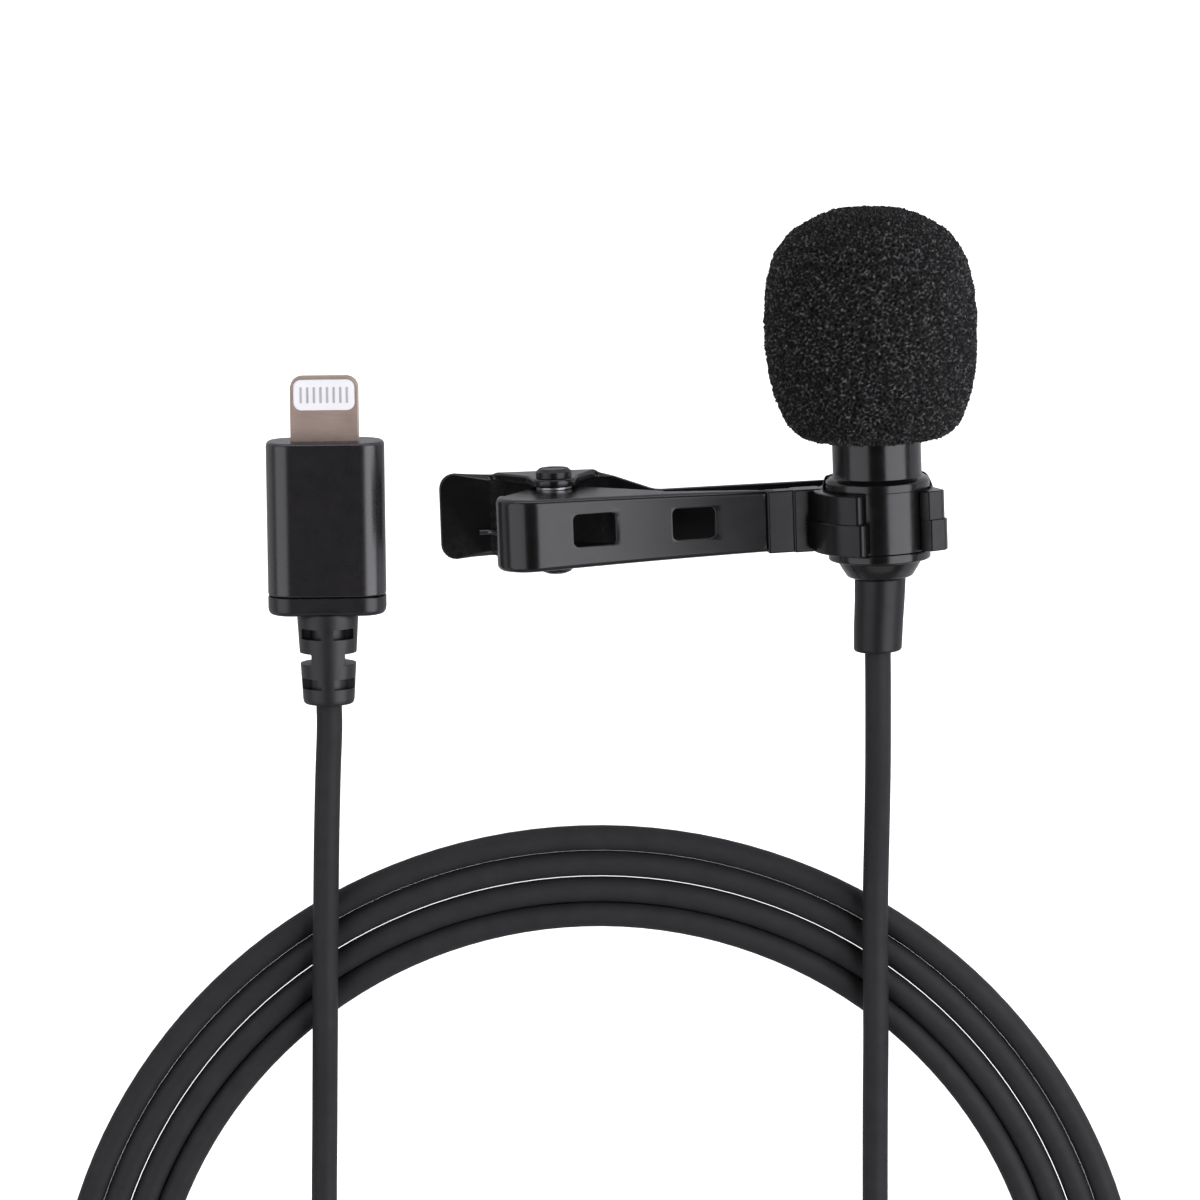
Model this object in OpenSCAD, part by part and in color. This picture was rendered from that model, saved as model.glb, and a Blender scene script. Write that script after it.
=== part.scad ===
// Clip-on lavalier microphone with a foam windscreen, a spring clip that swivels on the barrel,
// a flat reversible plug and its thin cable in a flat coil. Millimetres.
// +X runs from the finger tabs to the barrel, +Y along the barrel to the windscreen, +Z up.
// The part lies on its side: the rear tab, the plug and the coil rest on z = 0.

/* [Microphone] */
// barrel diameter inside the holder ring
barrel_d = 9.8; // [7:0.1:14]
// neck diameter under the windscreen
neck_d = 8.64; // [6:0.02:12]
// collar diameter above the holder ring
collar_d = 10.1; // [8:0.1:14]
// top of the neck above the ring's middle
neck_top = 14.4; // [10:0.1:20]
// end of the rubber sleeve below the ring's middle
sleeve_end = 13.2; // [8:0.1:20]
// rubber sleeve diameter at its root
sleeve_d = 4.95; // [3.5:0.05:7]
// capsule diameter
capsule_d = 6.0; // [4:0.1:6.4]
// capsule height
capsule_h = 2.7; // [1.5:0.1:4]

/* [Windscreen] */
// foam diameter
foam_d = 20.5; // [14:0.1:30]
// foam height
foam_h = 22.5; // [14:0.1:34]
// underside of the foam above the ring's middle
foam_low = 7.7; // [5:0.1:12]

/* [Holder ring] */
// ring height along the barrel
ring_h = 5.5; // [3:0.1:9]
// wall of the ring's upper half
ring_wall = 1.3; // [0.8:0.05:2.5]
// angle of the ring's opening
ring_gap = 69; // [40:1:110]

/* [Clip] */
// lean of the front arm from the table
clip_tilt = 10.5; // [4:0.1:18]
// sheet thickness of both arms
sheet = 0.8; // [0.5:0.05:1.5]
// half height of the front arm at the finger end
arm_half_wide = 3.3; // [2.4:0.05:5]
// half height of the front arm at the holder
arm_half_slim = 2.8; // [2:0.05:4]
// how far the front arm's face stands below its lower wall
arm_lip = 0.5; // [0:0.05:0.8]
// half width of the rear tab
tab_half = 4.25; // [3:0.05:7]
// tab end, measured from the barrel's axis
tab_reach = 42.75; // [34:0.05:55]
// pivot's distance from the barrel's axis
pivot_reach = 31.4; // [24:0.1:40]
// pivot's height over the table
pivot_z = 5.5; // [4:0.1:8]
// pivot screw shank diameter
pivot_d = 1.8; // [1.2:0.1:3]
// torsion spring wire diameter
wire_d = 0.55; // [0.3:0.05:0.8]

/* [Plug] */
// shell width
plug_w = 11.6; // [9:0.1:16]
// shell thickness
plug_t = 5.6; // [4:0.1:8]
// shell length
plug_l = 15.2; // [10:0.1:24]
// tongue width
tongue_w = 6.7; // [5:0.1:9]
// tongue thickness
tongue_t = 1.5; // [1:0.1:2.5]
// tongue length outside the shell
tongue_l = 6.4; // [4:0.1:9]

/* [Cable] */
// cable diameter
cable_d = 2.54; // [1.6:0.02:4]
// outside radius of the coil
coil_r = 54.7; // [40:0.1:80]
// flat turns in the coil
coil_turns = 4; // [2:1:6]

/* [Hidden] */
axis_x = 16.25;
ring_y = -8.5;
axis_z = foam_d / 2 + 0.05;
fn_round = 96;

barrel_r = barrel_d / 2;
neck_r = neck_d / 2;
bore_r = 3.7;
capsule_r = capsule_d / 2;
cap_lo = 11.5;
cap_hi = cap_lo + capsule_h;

ring_in = barrel_r + 0.05;
ring_out = ring_in + ring_wall;
ring_back = ring_in + 0.5;

arm_face = -2.05;
arm_back = arm_face - sheet;
arm_root = -7.0;
arm_shoulder = -10.7;
arm_end = -9.9;
leg_l = 0.6;
bend_r = 3.4;
bend_c = [-33, arm_face - bend_r];
bend_stop = 205;
leg_dir = [-sin(bend_stop), cos(bend_stop)];
leg_out = bend_c + bend_r * [cos(bend_stop), sin(bend_stop)];
leg_in = bend_c + (bend_r - sheet) * [cos(bend_stop), sin(bend_stop)];
ear_t = 0.7;

pivot_x = -pivot_reach;
pivot_q = pivot_z - axis_z;
pivot_r = pivot_d / 2;
// the pivot in the front arm's own leaning frame
pivot_c = [
    pivot_x * cos(clip_tilt) - pivot_q * sin(clip_tilt),
    pivot_x * sin(clip_tilt) + pivot_q * cos(clip_tilt)
];

// the foam's egg shape from its underside to its top, as parts of its half width and half height
foam_side = [[0.46, -1], [0.65, -0.985], [0.82, -0.85], [0.915, -0.65], [0.965, -0.45], [0.99, -0.26], [1, 0],
             [0.965, 0.36], [0.91, 0.54], [0.84, 0.67], [0.725, 0.79], [0.55, 0.89], [0.33, 0.975]];

plug_x = -37.44;
plug_y = -0.2;
plug_turn = 1.4;
shell_wall = 0.65;

cable_r = cable_d / 2;
coil_x = -13.81;
coil_y = -94.42;
coil_in = coil_r - coil_turns * cable_d;
turn_in = coil_in + cable_r;
turn_out = coil_r - cable_r;
low_z = cable_r + 0.01;
top_z = 3 * cable_r + 0.02;

// ---- points and sweeps -------------------------------------------------------------------
function arm_half(a) = arm_half_slim + (arm_half_wide - arm_half_slim) * (arm_shoulder - a) / 25.8;
function arc(c, r, a0, a1, n) = [for (i = [0:n]) c + r * [cos(a0 + (a1 - a0) * i / n), sin(a0 + (a1 - a0) * i / n)]];
function fan(c, r, a0, a1) = concat([c], arc(c, r, a0, a1, 8));
function unit(v) = v / norm(v);
function curve(a, b, c, d, t) =
    0.5 * (2 * b + (c - a) * t + (2 * a - 5 * b + 4 * c - d) * t * t + (3 * b - a - 3 * c + d) * t * t * t);
function smooth_route(p, n) = concat(
    [for (i = [0:len(p) - 2]) for (j = [0:n - 1])
        curve(p[max(i - 1, 0)], p[i], p[i + 1], p[min(i + 2, len(p) - 1)], j / n)],
    [p[len(p) - 1]]);
function heading(p, i) = unit(p[min(i + 1, len(p) - 1)] - p[max(i - 1, 0)]);
function ring_points(p, i, r, sides, ref) =
    let (t = heading(p, i), s = unit(cross(t, ref)), u = cross(s, t))
    [for (k = [0:sides - 1]) p[i] + r * (cos(360 * k / sides) * s + sin(360 * k / sides) * u)];

module tube(p, r, sides, ref) {
    n = len(p);
    pts = [for (i = [0:n - 1]) for (q = ring_points(p, i, r, sides, ref)) q];
    walls = [for (i = [0:n - 2]) for (k = [0:sides - 1])
        let (a = i * sides + k, b = i * sides + (k + 1) % sides)
        for (f = [[a, a + sides, b], [b, a + sides, b + sides]]) f];
    first = [for (k = [0:sides - 1]) k];
    last = [for (k = [sides - 1:-1:0]) (n - 1) * sides + k];
    polyhedron(points = pts, faces = concat(walls, [first], [last]), convexity = 10);
}

function on_coil(r, a, z) = [coil_x + r * cos(a), coil_y + r * sin(a), z];
function on_plug(y) = [plug_x + y * sin(plug_turn), plug_y + y * cos(plug_turn), plug_t / 2];

// the cable from inside the barrel, over the coil, down to the table and into the inner turn
mic_route = concat(
    [for (v = [-2.1, -8, -sleeve_end, -15.7]) [axis_x, ring_y + v, axis_z]],
    [[15.9, -29, 9.6], [15.65, -34, 8], [15.4, -40, 5.8], [15.2, -46, 4.3], [15.05, -51, 3.9], [14.9, -57, 3.9],
     [14.75, -62, 3.8], [14.6, -67, 3], [14.45, -73, 1.9], [14.3, -79, 1.4], [14.1, -87, 1.3], [13.8, -97, 1.3],
     [13.5, -108, 1.3]],
    [for (a = [0, -25, -50]) [coil_x + 7 + 20 * cos(a), coil_y - 24.8 + 20 * sin(a), low_z]],
    [on_coil(turn_in, -75, low_z), on_coil(turn_in, -84, low_z)]);

// the cable from the plug, over the coil, down to the table and back over the coil to the outer turn
plug_route = concat(
    [for (v = [-15, -20, -26.1, -28.7]) on_plug(v)],
    [[-38.5, -34, 3.2], [-38.85, -40, 3.7], [-39.15, -46, 3.9], [-39.45, -52, 3.9], [-39.7, -58, 3.9], [-40, -64, 3],
     [-40.3, -70, 1.9], [-40.6, -76, 1.4], [-40.9, -84, 1.3], [-41.2, -95, 1.3], [-41.4, -106, 1.6],
     [-41.3, -114, 2.6]],
    [for (a = [195, 215, 235]) [coil_x - 7.7 + 20 * cos(a), coil_y - 24.6 + 20 * sin(a), a < 200 ? 3.4 : top_z]],
    [for (a = [-107:12:-23]) on_coil(turn_in + (turn_out - turn_in) * (a + 107) / 84, a, top_z)],
    [on_coil(turn_out, -14, 3.2), on_coil(turn_out, -6, 2.2)]);

// torsion spring: leg to the front arm, coil round the pivot, leg to the rear tab
spring_r = 1.5;
spring_y = 1.6;
spring_a = 195.4;
spring_b = 134.6 + 5 * 360;
spring_route = concat(
    [[pivot_x - 3.42, spring_y, pivot_q + 6.78]],
    [for (i = [0:78]) let (a = spring_a + (spring_b - spring_a) * i / 78)
        [pivot_x + spring_r * cos(a), spring_y - 2 * spring_y * i / 78, pivot_q + spring_r * sin(a)]],
    [[pivot_x - 5.95, -spring_y, pivot_q - 3.77], [pivot_x - 6.62, -spring_y, sheet + wire_d / 2 + 0.02 - axis_z],
     [pivot_x - 7.5, -spring_y, sheet + wire_d / 2 + 0.02 - axis_z]]);

// ---- helpers -----------------------------------------------------------------------------
module at_mic() translate([axis_x, ring_y, axis_z]) children();
module on_table() translate([axis_x, ring_y, 0]) children();
module leaning() at_mic() rotate([0, clip_tilt, 0]) children();
module at_plug() translate([plug_x, plug_y, plug_t / 2]) rotate([0, 0, -plug_turn]) children();
// a shape drawn as radius and height, turned round the Y axis
module turned(pts) rotate([-90, 0, 0]) rotate_extrude($fn = fn_round) polygon(pts);
// a shape drawn in X and Z, from y0 to y1
module slab(y0, y1) translate([0, y1, 0]) rotate([90, 0, 0]) linear_extrude(height = y1 - y0) children();
module rod(x, z, r, y0, y1) translate([x, y0, z]) rotate([-90, 0, 0]) cylinder(r = r, h = y1 - y0, $fn = 48);
module rounded(x0, y0, x1, y1, r) {
    translate([x0 + r, y0]) square([x1 - x0 - 2 * r, y1 - y0]);
    translate([x0, y0 + r]) square([x1 - x0, y1 - y0 - 2 * r]);
    for (x = [x0 + r, x1 - r]) for (y = [y0 + r, y1 - r]) translate([x, y]) circle(r = r, $fn = 48);
}
module washer(r_in, r_out, v0, v1) turned([[r_in, v0], [r_out, v0], [r_out, v1], [r_in, v1]]);

// ---- microphone --------------------------------------------------------------------------
module windscreen() {
    b = foam_h / 2;
    m = foam_low + b;
    color([0.08, 0.08, 0.08]) at_mic() turned(concat(
        [[neck_r + 0.08, foam_low]], [for (p = foam_side) [p[0] * foam_d / 2, m + p[1] * b]],
        [[0, m + b], [0, neck_top + 3], [neck_r + 0.08, neck_top + 3]]));
}

module mic_barrel() {
    color([0.1, 0.1, 0.1]) at_mic() turned([
        [bore_r, -3.15], [barrel_r, -3.15], [barrel_r, 2.85], [collar_d / 2 - 0.12, 2.85], [collar_d / 2, 2.97],
        [collar_d / 2, 3.4], [collar_d / 2 - 0.15, 3.68], [collar_d / 2 - 0.4, 3.85], [neck_r, 3.92], [neck_r, neck_top],
        [bore_r, neck_top], [bore_r, 9], [3.3, 9], [3.3, -0.8], [bore_r, -0.8]]);
}

module head_grille() {
    color([0.2, 0.2, 0.2]) at_mic() difference() {
        turned([[bore_r, neck_top], [neck_r, neck_top], [neck_r, neck_top + 2.1], [neck_r - 0.4, neck_top + 2.5],
                [0, neck_top + 2.6], [0, neck_top + 2], [bore_r, neck_top + 2]]);
        rod(0, 0, 0.5, neck_top + 1, neck_top + 4);
        for (i = [0:5]) rod(1.4 * cos(60 * i), 1.4 * sin(60 * i), 0.5, neck_top + 1, neck_top + 4);
        for (i = [0:11]) rod(2.75 * cos(30 * i + 15), 2.75 * sin(30 * i + 15), 0.5, neck_top + 1, neck_top + 4);
    }
}

module grille_cloth() color([0.25, 0.25, 0.27]) at_mic() washer(0, bore_r - 0.08, neck_top + 1.65, neck_top + 1.95);

module capsule_can() {
    color([0.75, 0.75, 0.74]) at_mic() turned([
        [2.45, cap_lo], [capsule_r, cap_lo], [capsule_r, cap_hi], [1, cap_hi], [1, cap_hi - 0.2],
        [capsule_r - 0.2, cap_hi - 0.2], [capsule_r - 0.2, cap_lo + 0.15], [2.45, cap_lo + 0.15]]);
}

module capsule_board() color([0.12, 0.35, 0.16]) at_mic() washer(0, capsule_r - 0.22, cap_lo + 0.17, cap_lo + 0.57);

module transistor() {
    color([0.1, 0.1, 0.1]) at_mic() translate([-0.8, cap_lo + 0.59, -0.45]) cube([1.6, 0.6, 0.9]);
}

module plate_holder() color([0.85, 0.84, 0.8]) at_mic() washer(2.3, capsule_r - 0.22, cap_lo + 0.59, cap_hi - 0.85);

module back_plate() {
    color([0.8, 0.68, 0.32]) at_mic() difference() {
        washer(0, 2.28, cap_hi - 1.25, cap_hi - 0.95);
        for (i = [0:3]) rod(1.3 * cos(90 * i), 1.3 * sin(90 * i), 0.25, cap_hi - 2, cap_hi);
    }
}

module diaphragm() {
    color([0.82, 0.74, 0.5]) at_mic() turned([
        [0, cap_hi - 0.83], [capsule_r - 0.22, cap_hi - 0.83], [capsule_r - 0.22, cap_hi - 0.22],
        [2.4, cap_hi - 0.22], [2.4, cap_hi - 0.76], [0, cap_hi - 0.76]]);
}

module capsule_boot() {
    color([0.13, 0.13, 0.13]) at_mic() turned([
        [2.5, 9.05], [bore_r - 0.02, 9.05], [bore_r - 0.02, neck_top - 0.1], [capsule_r + 0.02, neck_top - 0.1],
        [capsule_r + 0.02, cap_lo - 0.02], [2.5, cap_lo - 0.02]]);
}

module signal_wires() {
    color([0.7, 0.2, 0.15]) at_mic() for (x = [-0.7, 0.7]) rod(x, 0, 0.3, -2.08, cap_lo + 0.16);
}

module cable_ferrule() color([0.7, 0.7, 0.68]) at_mic() washer(cable_r + 0.02, 2.1, -3.52, -2.2);

module end_cap() {
    color([0.1, 0.1, 0.1]) at_mic() turned([
        [2.55, -0.85], [bore_r - 0.02, -0.85], [bore_r - 0.02, -3.2], [barrel_r, -3.2], [barrel_r + 0.05, -3.35],
        [barrel_r + 0.05, -4], [barrel_r - 0.1, -4.12], [4.1, -4.2], [3.95, -4.45], [3.5, -5.2], [3.15, -5.72], [2.85, -5.92],
        [2.05, -5.92], [2.05, -4.62], [2.55, -4.62]]);
}

module mic_sleeve() {
    s = sleeve_d / 2;
    color([0.12, 0.12, 0.12]) at_mic() turned([
        [cable_r + 0.03, -sleeve_end], [s - 0.45, -sleeve_end], [s - 0.22, -sleeve_end + 0.1],
        [s - 0.13, -sleeve_end + 0.35], [s, -6.2], [s - 0.12, -5.95], [2.02, -5.95], [2.02, -4.6], [2.5, -4.6], [2.5, -3.55],
        [cable_r + 0.03, -3.55]]);
}

// ---- clip --------------------------------------------------------------------------------
module strip_shape() {
    translate([bend_c[0], arm_back]) square([arm_root - bend_c[0], sheet]);
    intersection() {
        difference() {
            translate(bend_c) circle(r = bend_r, $fn = 96);
            translate(bend_c) circle(r = bend_r - sheet, $fn = 96);
        }
        polygon(fan(bend_c, 9, 90, bend_stop));
    }
    polygon([leg_in, leg_out, leg_out + leg_l * leg_dir, leg_in + leg_l * leg_dir]);
}

module ear_shape() {
    polygon([[-12.5, arm_face - 0.3], [-12.5, -3.3], [-20.5, -5.2], pivot_c + 2.1 * [cos(-60), sin(-60)],
             pivot_c + 2.1 * [cos(215), sin(215)], leg_out + leg_l * leg_dir, leg_out, [bend_c[0], arm_face - 0.3]]);
    translate(bend_c) circle(r = bend_r, $fn = 96);
    translate(pivot_c) circle(r = 2.1, $fn = 64);
}

// the arm's height outline, seen square to its face
module arm_outline(inset, lip, right) {
    translate([0, 0, -16]) linear_extrude(height = 18) polygon([
        [-44, inset - lip - arm_half(-44)], [right, inset - lip - arm_half(right)],
        [right, arm_half(right) - inset], [-44, arm_half(-44) - inset]]);
}

module front_arm() {
    color([0.09, 0.09, 0.09]) leaning() difference() {
        union() {
            intersection() {
                slab(-5, 5) strip_shape();
                union() {
                    arm_outline(0, arm_lip, arm_end);
                    translate([arm_end - 1, -2.2, -6]) cube([6, 4.4, 6]);
                }
            }
            difference() {
                intersection() {
                    slab(-5, 5) ear_shape();
                    arm_outline(0, 0, arm_shoulder);
                }
                arm_outline(ear_t, 0, arm_shoulder);
            }
        }
        for (x = [-27.6, -17.75])
            translate([x, 0, -5]) linear_extrude(height = 6) rounded(-2.08, -1.55, 2.08, 1.55, 0.5);
        translate([-9, 0, -5]) cylinder(r = 0.62, h = 4, $fn = 32);
        rod(pivot_c[0], pivot_c[1], pivot_r + 0.02, -6, 6);
    }
}

// thick at the arm's side, thin behind the barrel, with a square lip at the far side of the opening
module ring_half(y0, y1, r, g0, g1) {
    k = r / ring_out;
    slab(y0, y1) difference() {
        union() {
            circle(r = ring_back, $fn = 128);
            intersection() {
                circle(r = r, $fn = 128);
                polygon(fan([0, 0], 12, 100, 250));
            }
            polygon(k * [[3, 2], [4, 4.6], [5.45, 4.05], [5.8, 3.45], [5.25, 1.1], [4, 1]]);
        }
        circle(r = ring_in, $fn = 128);
        polygon(fan([0, 0], 12, g0, g1));
    }
}

module mic_holder() {
    h = ring_h / 2;
    low = 84 - ring_gap / 2;
    high = 84 + ring_gap / 2;
    color([0.08, 0.08, 0.08]) difference() {
        union() {
            leaning() {
                ring_half(-0.1, h, ring_out, low, high);
                ring_half(-h - 0.35, 0, ring_out + 0.22, low, high - 3);
                slab(-3.3, 2.8) translate([-10.6, -3.35]) square([2.6, 1.7]);
                slab(-3.3, 2.8) translate([-8.1, -3.7]) square([2.95, 2.4]);
                // the wall behind the barrel stands up past the collar
                slab(h - 0.1, h + 1.1) difference() {
                    polygon(fan([0, 0], 12, 205, 340));
                    circle(r = ring_in + 0.17, $fn = 128);
                    difference() {
                        square(40, center = true);
                        circle(r = ring_back, $fn = 128);
                    }
                }
            }
            at_mic() slab(-h + 0.05, h - 0.05) difference() {
                polygon([[-4.4, -6.5], [3.8, -6.5], [5, -4.6], [-5.4, -4.4]]);
                circle(r = ring_in + 0.3, $fn = 96);
            }
        }
        leaning() translate([-11, -2.22, arm_back - 0.02]) cube([11 + arm_root, 4.44, sheet + 0.04]);
        leaning() translate([-11, -4, arm_back - 0.02]) cube([11.02 + arm_end, 8, sheet + 0.04]);
        leaning() translate([-9, 0, -4]) cylinder(r = 0.62, h = 2.15, $fn = 32);
        at_mic() for (x = [-3:1.5:3]) translate([x, 0, -6.5]) rotate([0, 45, 0]) cube([0.4, 8, 0.4], center = true);
    }
}

module holder_screw() {
    color([0.5, 0.5, 0.5]) leaning() translate([-9, 0, 0]) difference() {
        union() {
            translate([0, 0, -3.75]) cylinder(r = 0.85, h = 0.38, $fn = 48);
            translate([0, 0, -3.4]) cylinder(r = 0.6, h = 1.5, $fn = 32);
        }
        translate([-1.5, -0.12, -4]) cube([3, 0.24, 0.42]);
    }
}

module rear_shape() {
    polygon([[-tab_reach, 0], [-25, 0], [-6, 2.2], [5.6, 2.45], [5.6, 2.45 + sheet], [-6, 2.2 + sheet],
             [-25.05, sheet], [-tab_reach, sheet]]);
    for (x = [-3.2:1.6:3.2]) let (z = 2.2 + sheet + 0.25 * (x + 6) / 11.6)
        polygon([[x - 0.55, z - 0.1], [x + 0.55, z - 0.1], [x, z + 0.42]]);
}

module rear_arm() {
    upper = concat(
        arc([1.5 - tab_reach, tab_half - 1.5], 1.5, 180, 90, 6),
        [[-27.5, tab_half], [-21.5, 2.05], [0, 2.85]],
        arc([3.8, 1.3], 1.8, 90, 0, 6));
    lower = concat(
        arc([3.8, -1.3], 1.8, 0, -90, 6),
        [[0, -2.85], [-16, -3.25], [-27.5, -tab_half]],
        arc([1.5 - tab_reach, 1.5 - tab_half], 1.5, 270, 180, 6));
    color([0.1, 0.1, 0.1]) on_table() difference() {
        union() {
            intersection() {
                slab(-5, 5) rear_shape();
                translate([0, 0, -1]) linear_extrude(height = 8) polygon(concat(upper, lower));
            }
            for (y = [-tab_half, tab_half - ear_t]) slab(y, y + ear_t) {
                polygon([[-36.5, 0.4], [-27.6, 0.4], [pivot_x + 2.1, pivot_z + 0.3], [pivot_x - 2.1, pivot_z + 0.3]]);
                translate([pivot_x, pivot_z]) circle(r = 2.2, $fn = 64);
            }
        }
        rod(pivot_x, pivot_z, pivot_r + 0.05, -6, 6);
    }
}

module pivot_washers() {
    color([0.6, 0.6, 0.6]) at_mic() for (y = [-3.52, 3.22]) difference() {
        rod(pivot_x, pivot_q, 1.75, y, y + 0.3);
        rod(pivot_x, pivot_q, pivot_r + 0.03, y - 1, y + 1);
    }
}

module pivot_screw() {
    color([0.3, 0.3, 0.3]) at_mic() translate([pivot_x, 0, pivot_q]) difference() {
        turned([[0, -4.9], [pivot_r, -4.9], [pivot_r, tab_half + 0.05], [1.75, tab_half + 0.05], [1.75, 4.85], [1.4, 5.15],
                [0, 5.25]]);
        translate([-2, 4.85, -0.2]) cube([4, 1, 0.4]);
    }
}

module pivot_nut() {
    color([0.3, 0.3, 0.3]) at_mic() translate([pivot_x, 0, pivot_q]) turned([
        [0, -5.25], [0.9, -5.2], [1.4, -5], [1.65, -4.7], [1.65, -tab_half - 0.05], [pivot_r + 0.02, -tab_half - 0.05],
        [pivot_r + 0.02, -4.92], [0, -4.92]]);
}

module torsion_spring() color([0.62, 0.62, 0.62]) at_mic() tube(spring_route, wire_d / 2, 8, [0, 1, 0]);

// ---- plug --------------------------------------------------------------------------------
module tongue_frame() {
    w = tongue_w / 2;
    color([0.66, 0.62, 0.57]) at_plug() translate([0, 0, -tongue_t / 2]) linear_extrude(height = tongue_t) difference() {
        polygon(concat(
            [[w, -3], [w, tongue_l - 1.2]], arc([w - 1.2, tongue_l - 1.2], 1.2, 10, 90, 6),
            arc([1.2 - w, tongue_l - 1.2], 1.2, 90, 170, 6), [[-w, tongue_l - 1.2], [-w, -3]]));
        rounded(-3.03, 3.02, 3.03, 6.12, 0.8);
    }
}

module contact_row(grow) {
    for (i = [0:7]) for (z = [-0.72, 0.6])
        translate([0.645 * (i - 3.5) - 0.13 - grow, 3.75 - grow, z]) cube([0.26 + 2 * grow, 1.62 + 2 * grow, 0.12]);
}

module contact_carrier() {
    color([0.92, 0.92, 0.9]) at_plug() difference() {
        translate([0, 0, -0.71]) linear_extrude(height = 1.42) rounded(-3.01, 3.04, 3.01, 6.1, 0.78);
        contact_row(0.02);
    }
}

module contacts() color([0.55, 0.54, 0.5]) at_plug() contact_row(0);

module plug_board() {
    color([0.1, 0.3, 0.15]) at_plug() translate([-4, -13.6, -0.4]) cube([8, 10.55, 0.8]);
}

module board_chips() {
    color([0.14, 0.14, 0.14]) at_plug() {
        translate([-1.6, -9.4, 0.42]) cube([3.2, 3.2, 0.75]);
        translate([-3.4, -6, 0.42]) cube([1.2, 0.7, 0.5]);
        translate([2.2, -6, 0.42]) cube([1.2, 0.7, 0.5]);
        translate([-3.4, -11, 0.42]) cube([0.7, 1.3, 0.5]);
        translate([2.5, -11, 0.42]) cube([0.7, 1.3, 0.5]);
    }
}

module plug_wires() color([0.7, 0.25, 0.2]) at_plug() for (x = [-0.75, 0, 0.75]) rod(x, 0, 0.28, -14.98, -13.62);

module plug_shell() {
    w = plug_w / 2;
    t = plug_t / 2;
    color([0.12, 0.12, 0.12]) at_plug() difference() {
        slab(-plug_l, 0) rounded(-w, -t, w, t, 2.4);
        slab(-plug_l - 1, -0.9) rounded(shell_wall - w, shell_wall - t, w - shell_wall, t - shell_wall, 1.75);
        slab(-2, 1) translate([-tongue_w / 2 - 0.02, -tongue_t / 2 - 0.02]) square([tongue_w + 0.04, tongue_t + 0.04]);
    }
}

module plug_end_cap() {
    w = plug_w / 2;
    t = plug_t / 2;
    i = shell_wall + 0.03;
    color([0.1, 0.1, 0.1]) at_plug() difference() {
        union() {
            slab(-plug_l - 1.45, -plug_l - 0.04) rounded(-w, -t, w, t, 2.4);
            slab(-plug_l - 1.9, -plug_l - 1.4) rounded(0.3 - w, 0.3 - t, w - 0.3, t - 0.3, 2.1);
            slab(-plug_l - 0.1, -plug_l + 1) rounded(i - w, i - t, w - i, t - i, 1.7);
        }
        rod(0, 0, 1.63, -plug_l - 4, -plug_l + 4);
    }
}

module plug_sleeve() {
    color([0.2, 0.2, 0.2]) at_plug() difference() {
        union() {
            scale([1.1, 1, 1]) turned([[0, -26.1], [2.05, -26.1], [2.3, -25.8], [2.75, -17.14], [0, -17.14]]);
            rod(0, 0, 1.61, -17.3, -14.3);
        }
        rod(0, 0, cable_r + 0.03, -27, -14);
        for (y = [-19.5, -24.5]) for (x = [-2.45, 0.95]) for (z = [-4.5, 1.5]) translate([x, y, z]) cube([1.5, 1.05, 3]);
        for (x = [-4.7, 1.7]) translate([x, -22.05, -4]) cube([3, 1.1, 8]);
    }
}

// ---- cable -------------------------------------------------------------------------------
module mic_lead() color([0.2, 0.2, 0.21]) tube(smooth_route(mic_route, 2), cable_r, 8, [0, 0, 1]);

module cable_coil() {
    color([0.2, 0.2, 0.21]) translate([coil_x, coil_y, 0]) rotate_extrude($fn = 128) polygon([
        [coil_in, 0.9], [coil_in + 0.5, 0], [coil_r - 0.5, 0], [coil_r, 0.9], [coil_r, cable_d - 0.9], [coil_r - 0.5, cable_d],
        [coil_in + 0.5, cable_d], [coil_in, cable_d - 0.9]]);
}

module plug_lead() color([0.2, 0.2, 0.21]) tube(smooth_route(plug_route, 2), cable_r, 8, [0, 0, 1]);

module coil_strap() {
    m = (coil_in + coil_r) / 2;
    w = (coil_r - coil_in) / 2 + 0.3;
    color([0.1, 0.1, 0.1]) translate([coil_x, coil_y, 0]) rotate([0, 0, 200]) translate([m, 0, 0]) difference() {
        union() {
            slab(-4, 4) rounded(-w - 0.6, 0, w + 0.6, cable_d + 1.25, 0.9);
            slab(-4, 4) translate([-2.5, cable_d + 1]) square([w + 2, 0.75]);
        }
        slab(-5, 5) rounded(-w, 0.6, w, cable_d + 0.65, 0.5);
    }
}

windscreen();
mic_barrel();
head_grille();
grille_cloth();
capsule_can();
capsule_board();
transistor();
plate_holder();
back_plate();
diaphragm();
capsule_boot();
signal_wires();
cable_ferrule();
end_cap();
mic_sleeve();
front_arm();
mic_holder();
holder_screw();
rear_arm();
pivot_washers();
pivot_screw();
pivot_nut();
torsion_spring();
tongue_frame();
contact_carrier();
contacts();
plug_board();
board_chips();
plug_wires();
plug_shell();
plug_end_cap();
plug_sleeve();
mic_lead();
cable_coil();
plug_lead();
coil_strap();
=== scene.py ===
# Clip-on lavalier microphone: the look of the part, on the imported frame.
import math

import bmesh
import bpy
import numpy as np
from mathutils import Matrix, Vector
from mathutils.geometry import delaunay_2d_cdt
from mathutils.kdtree import KDTree


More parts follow.
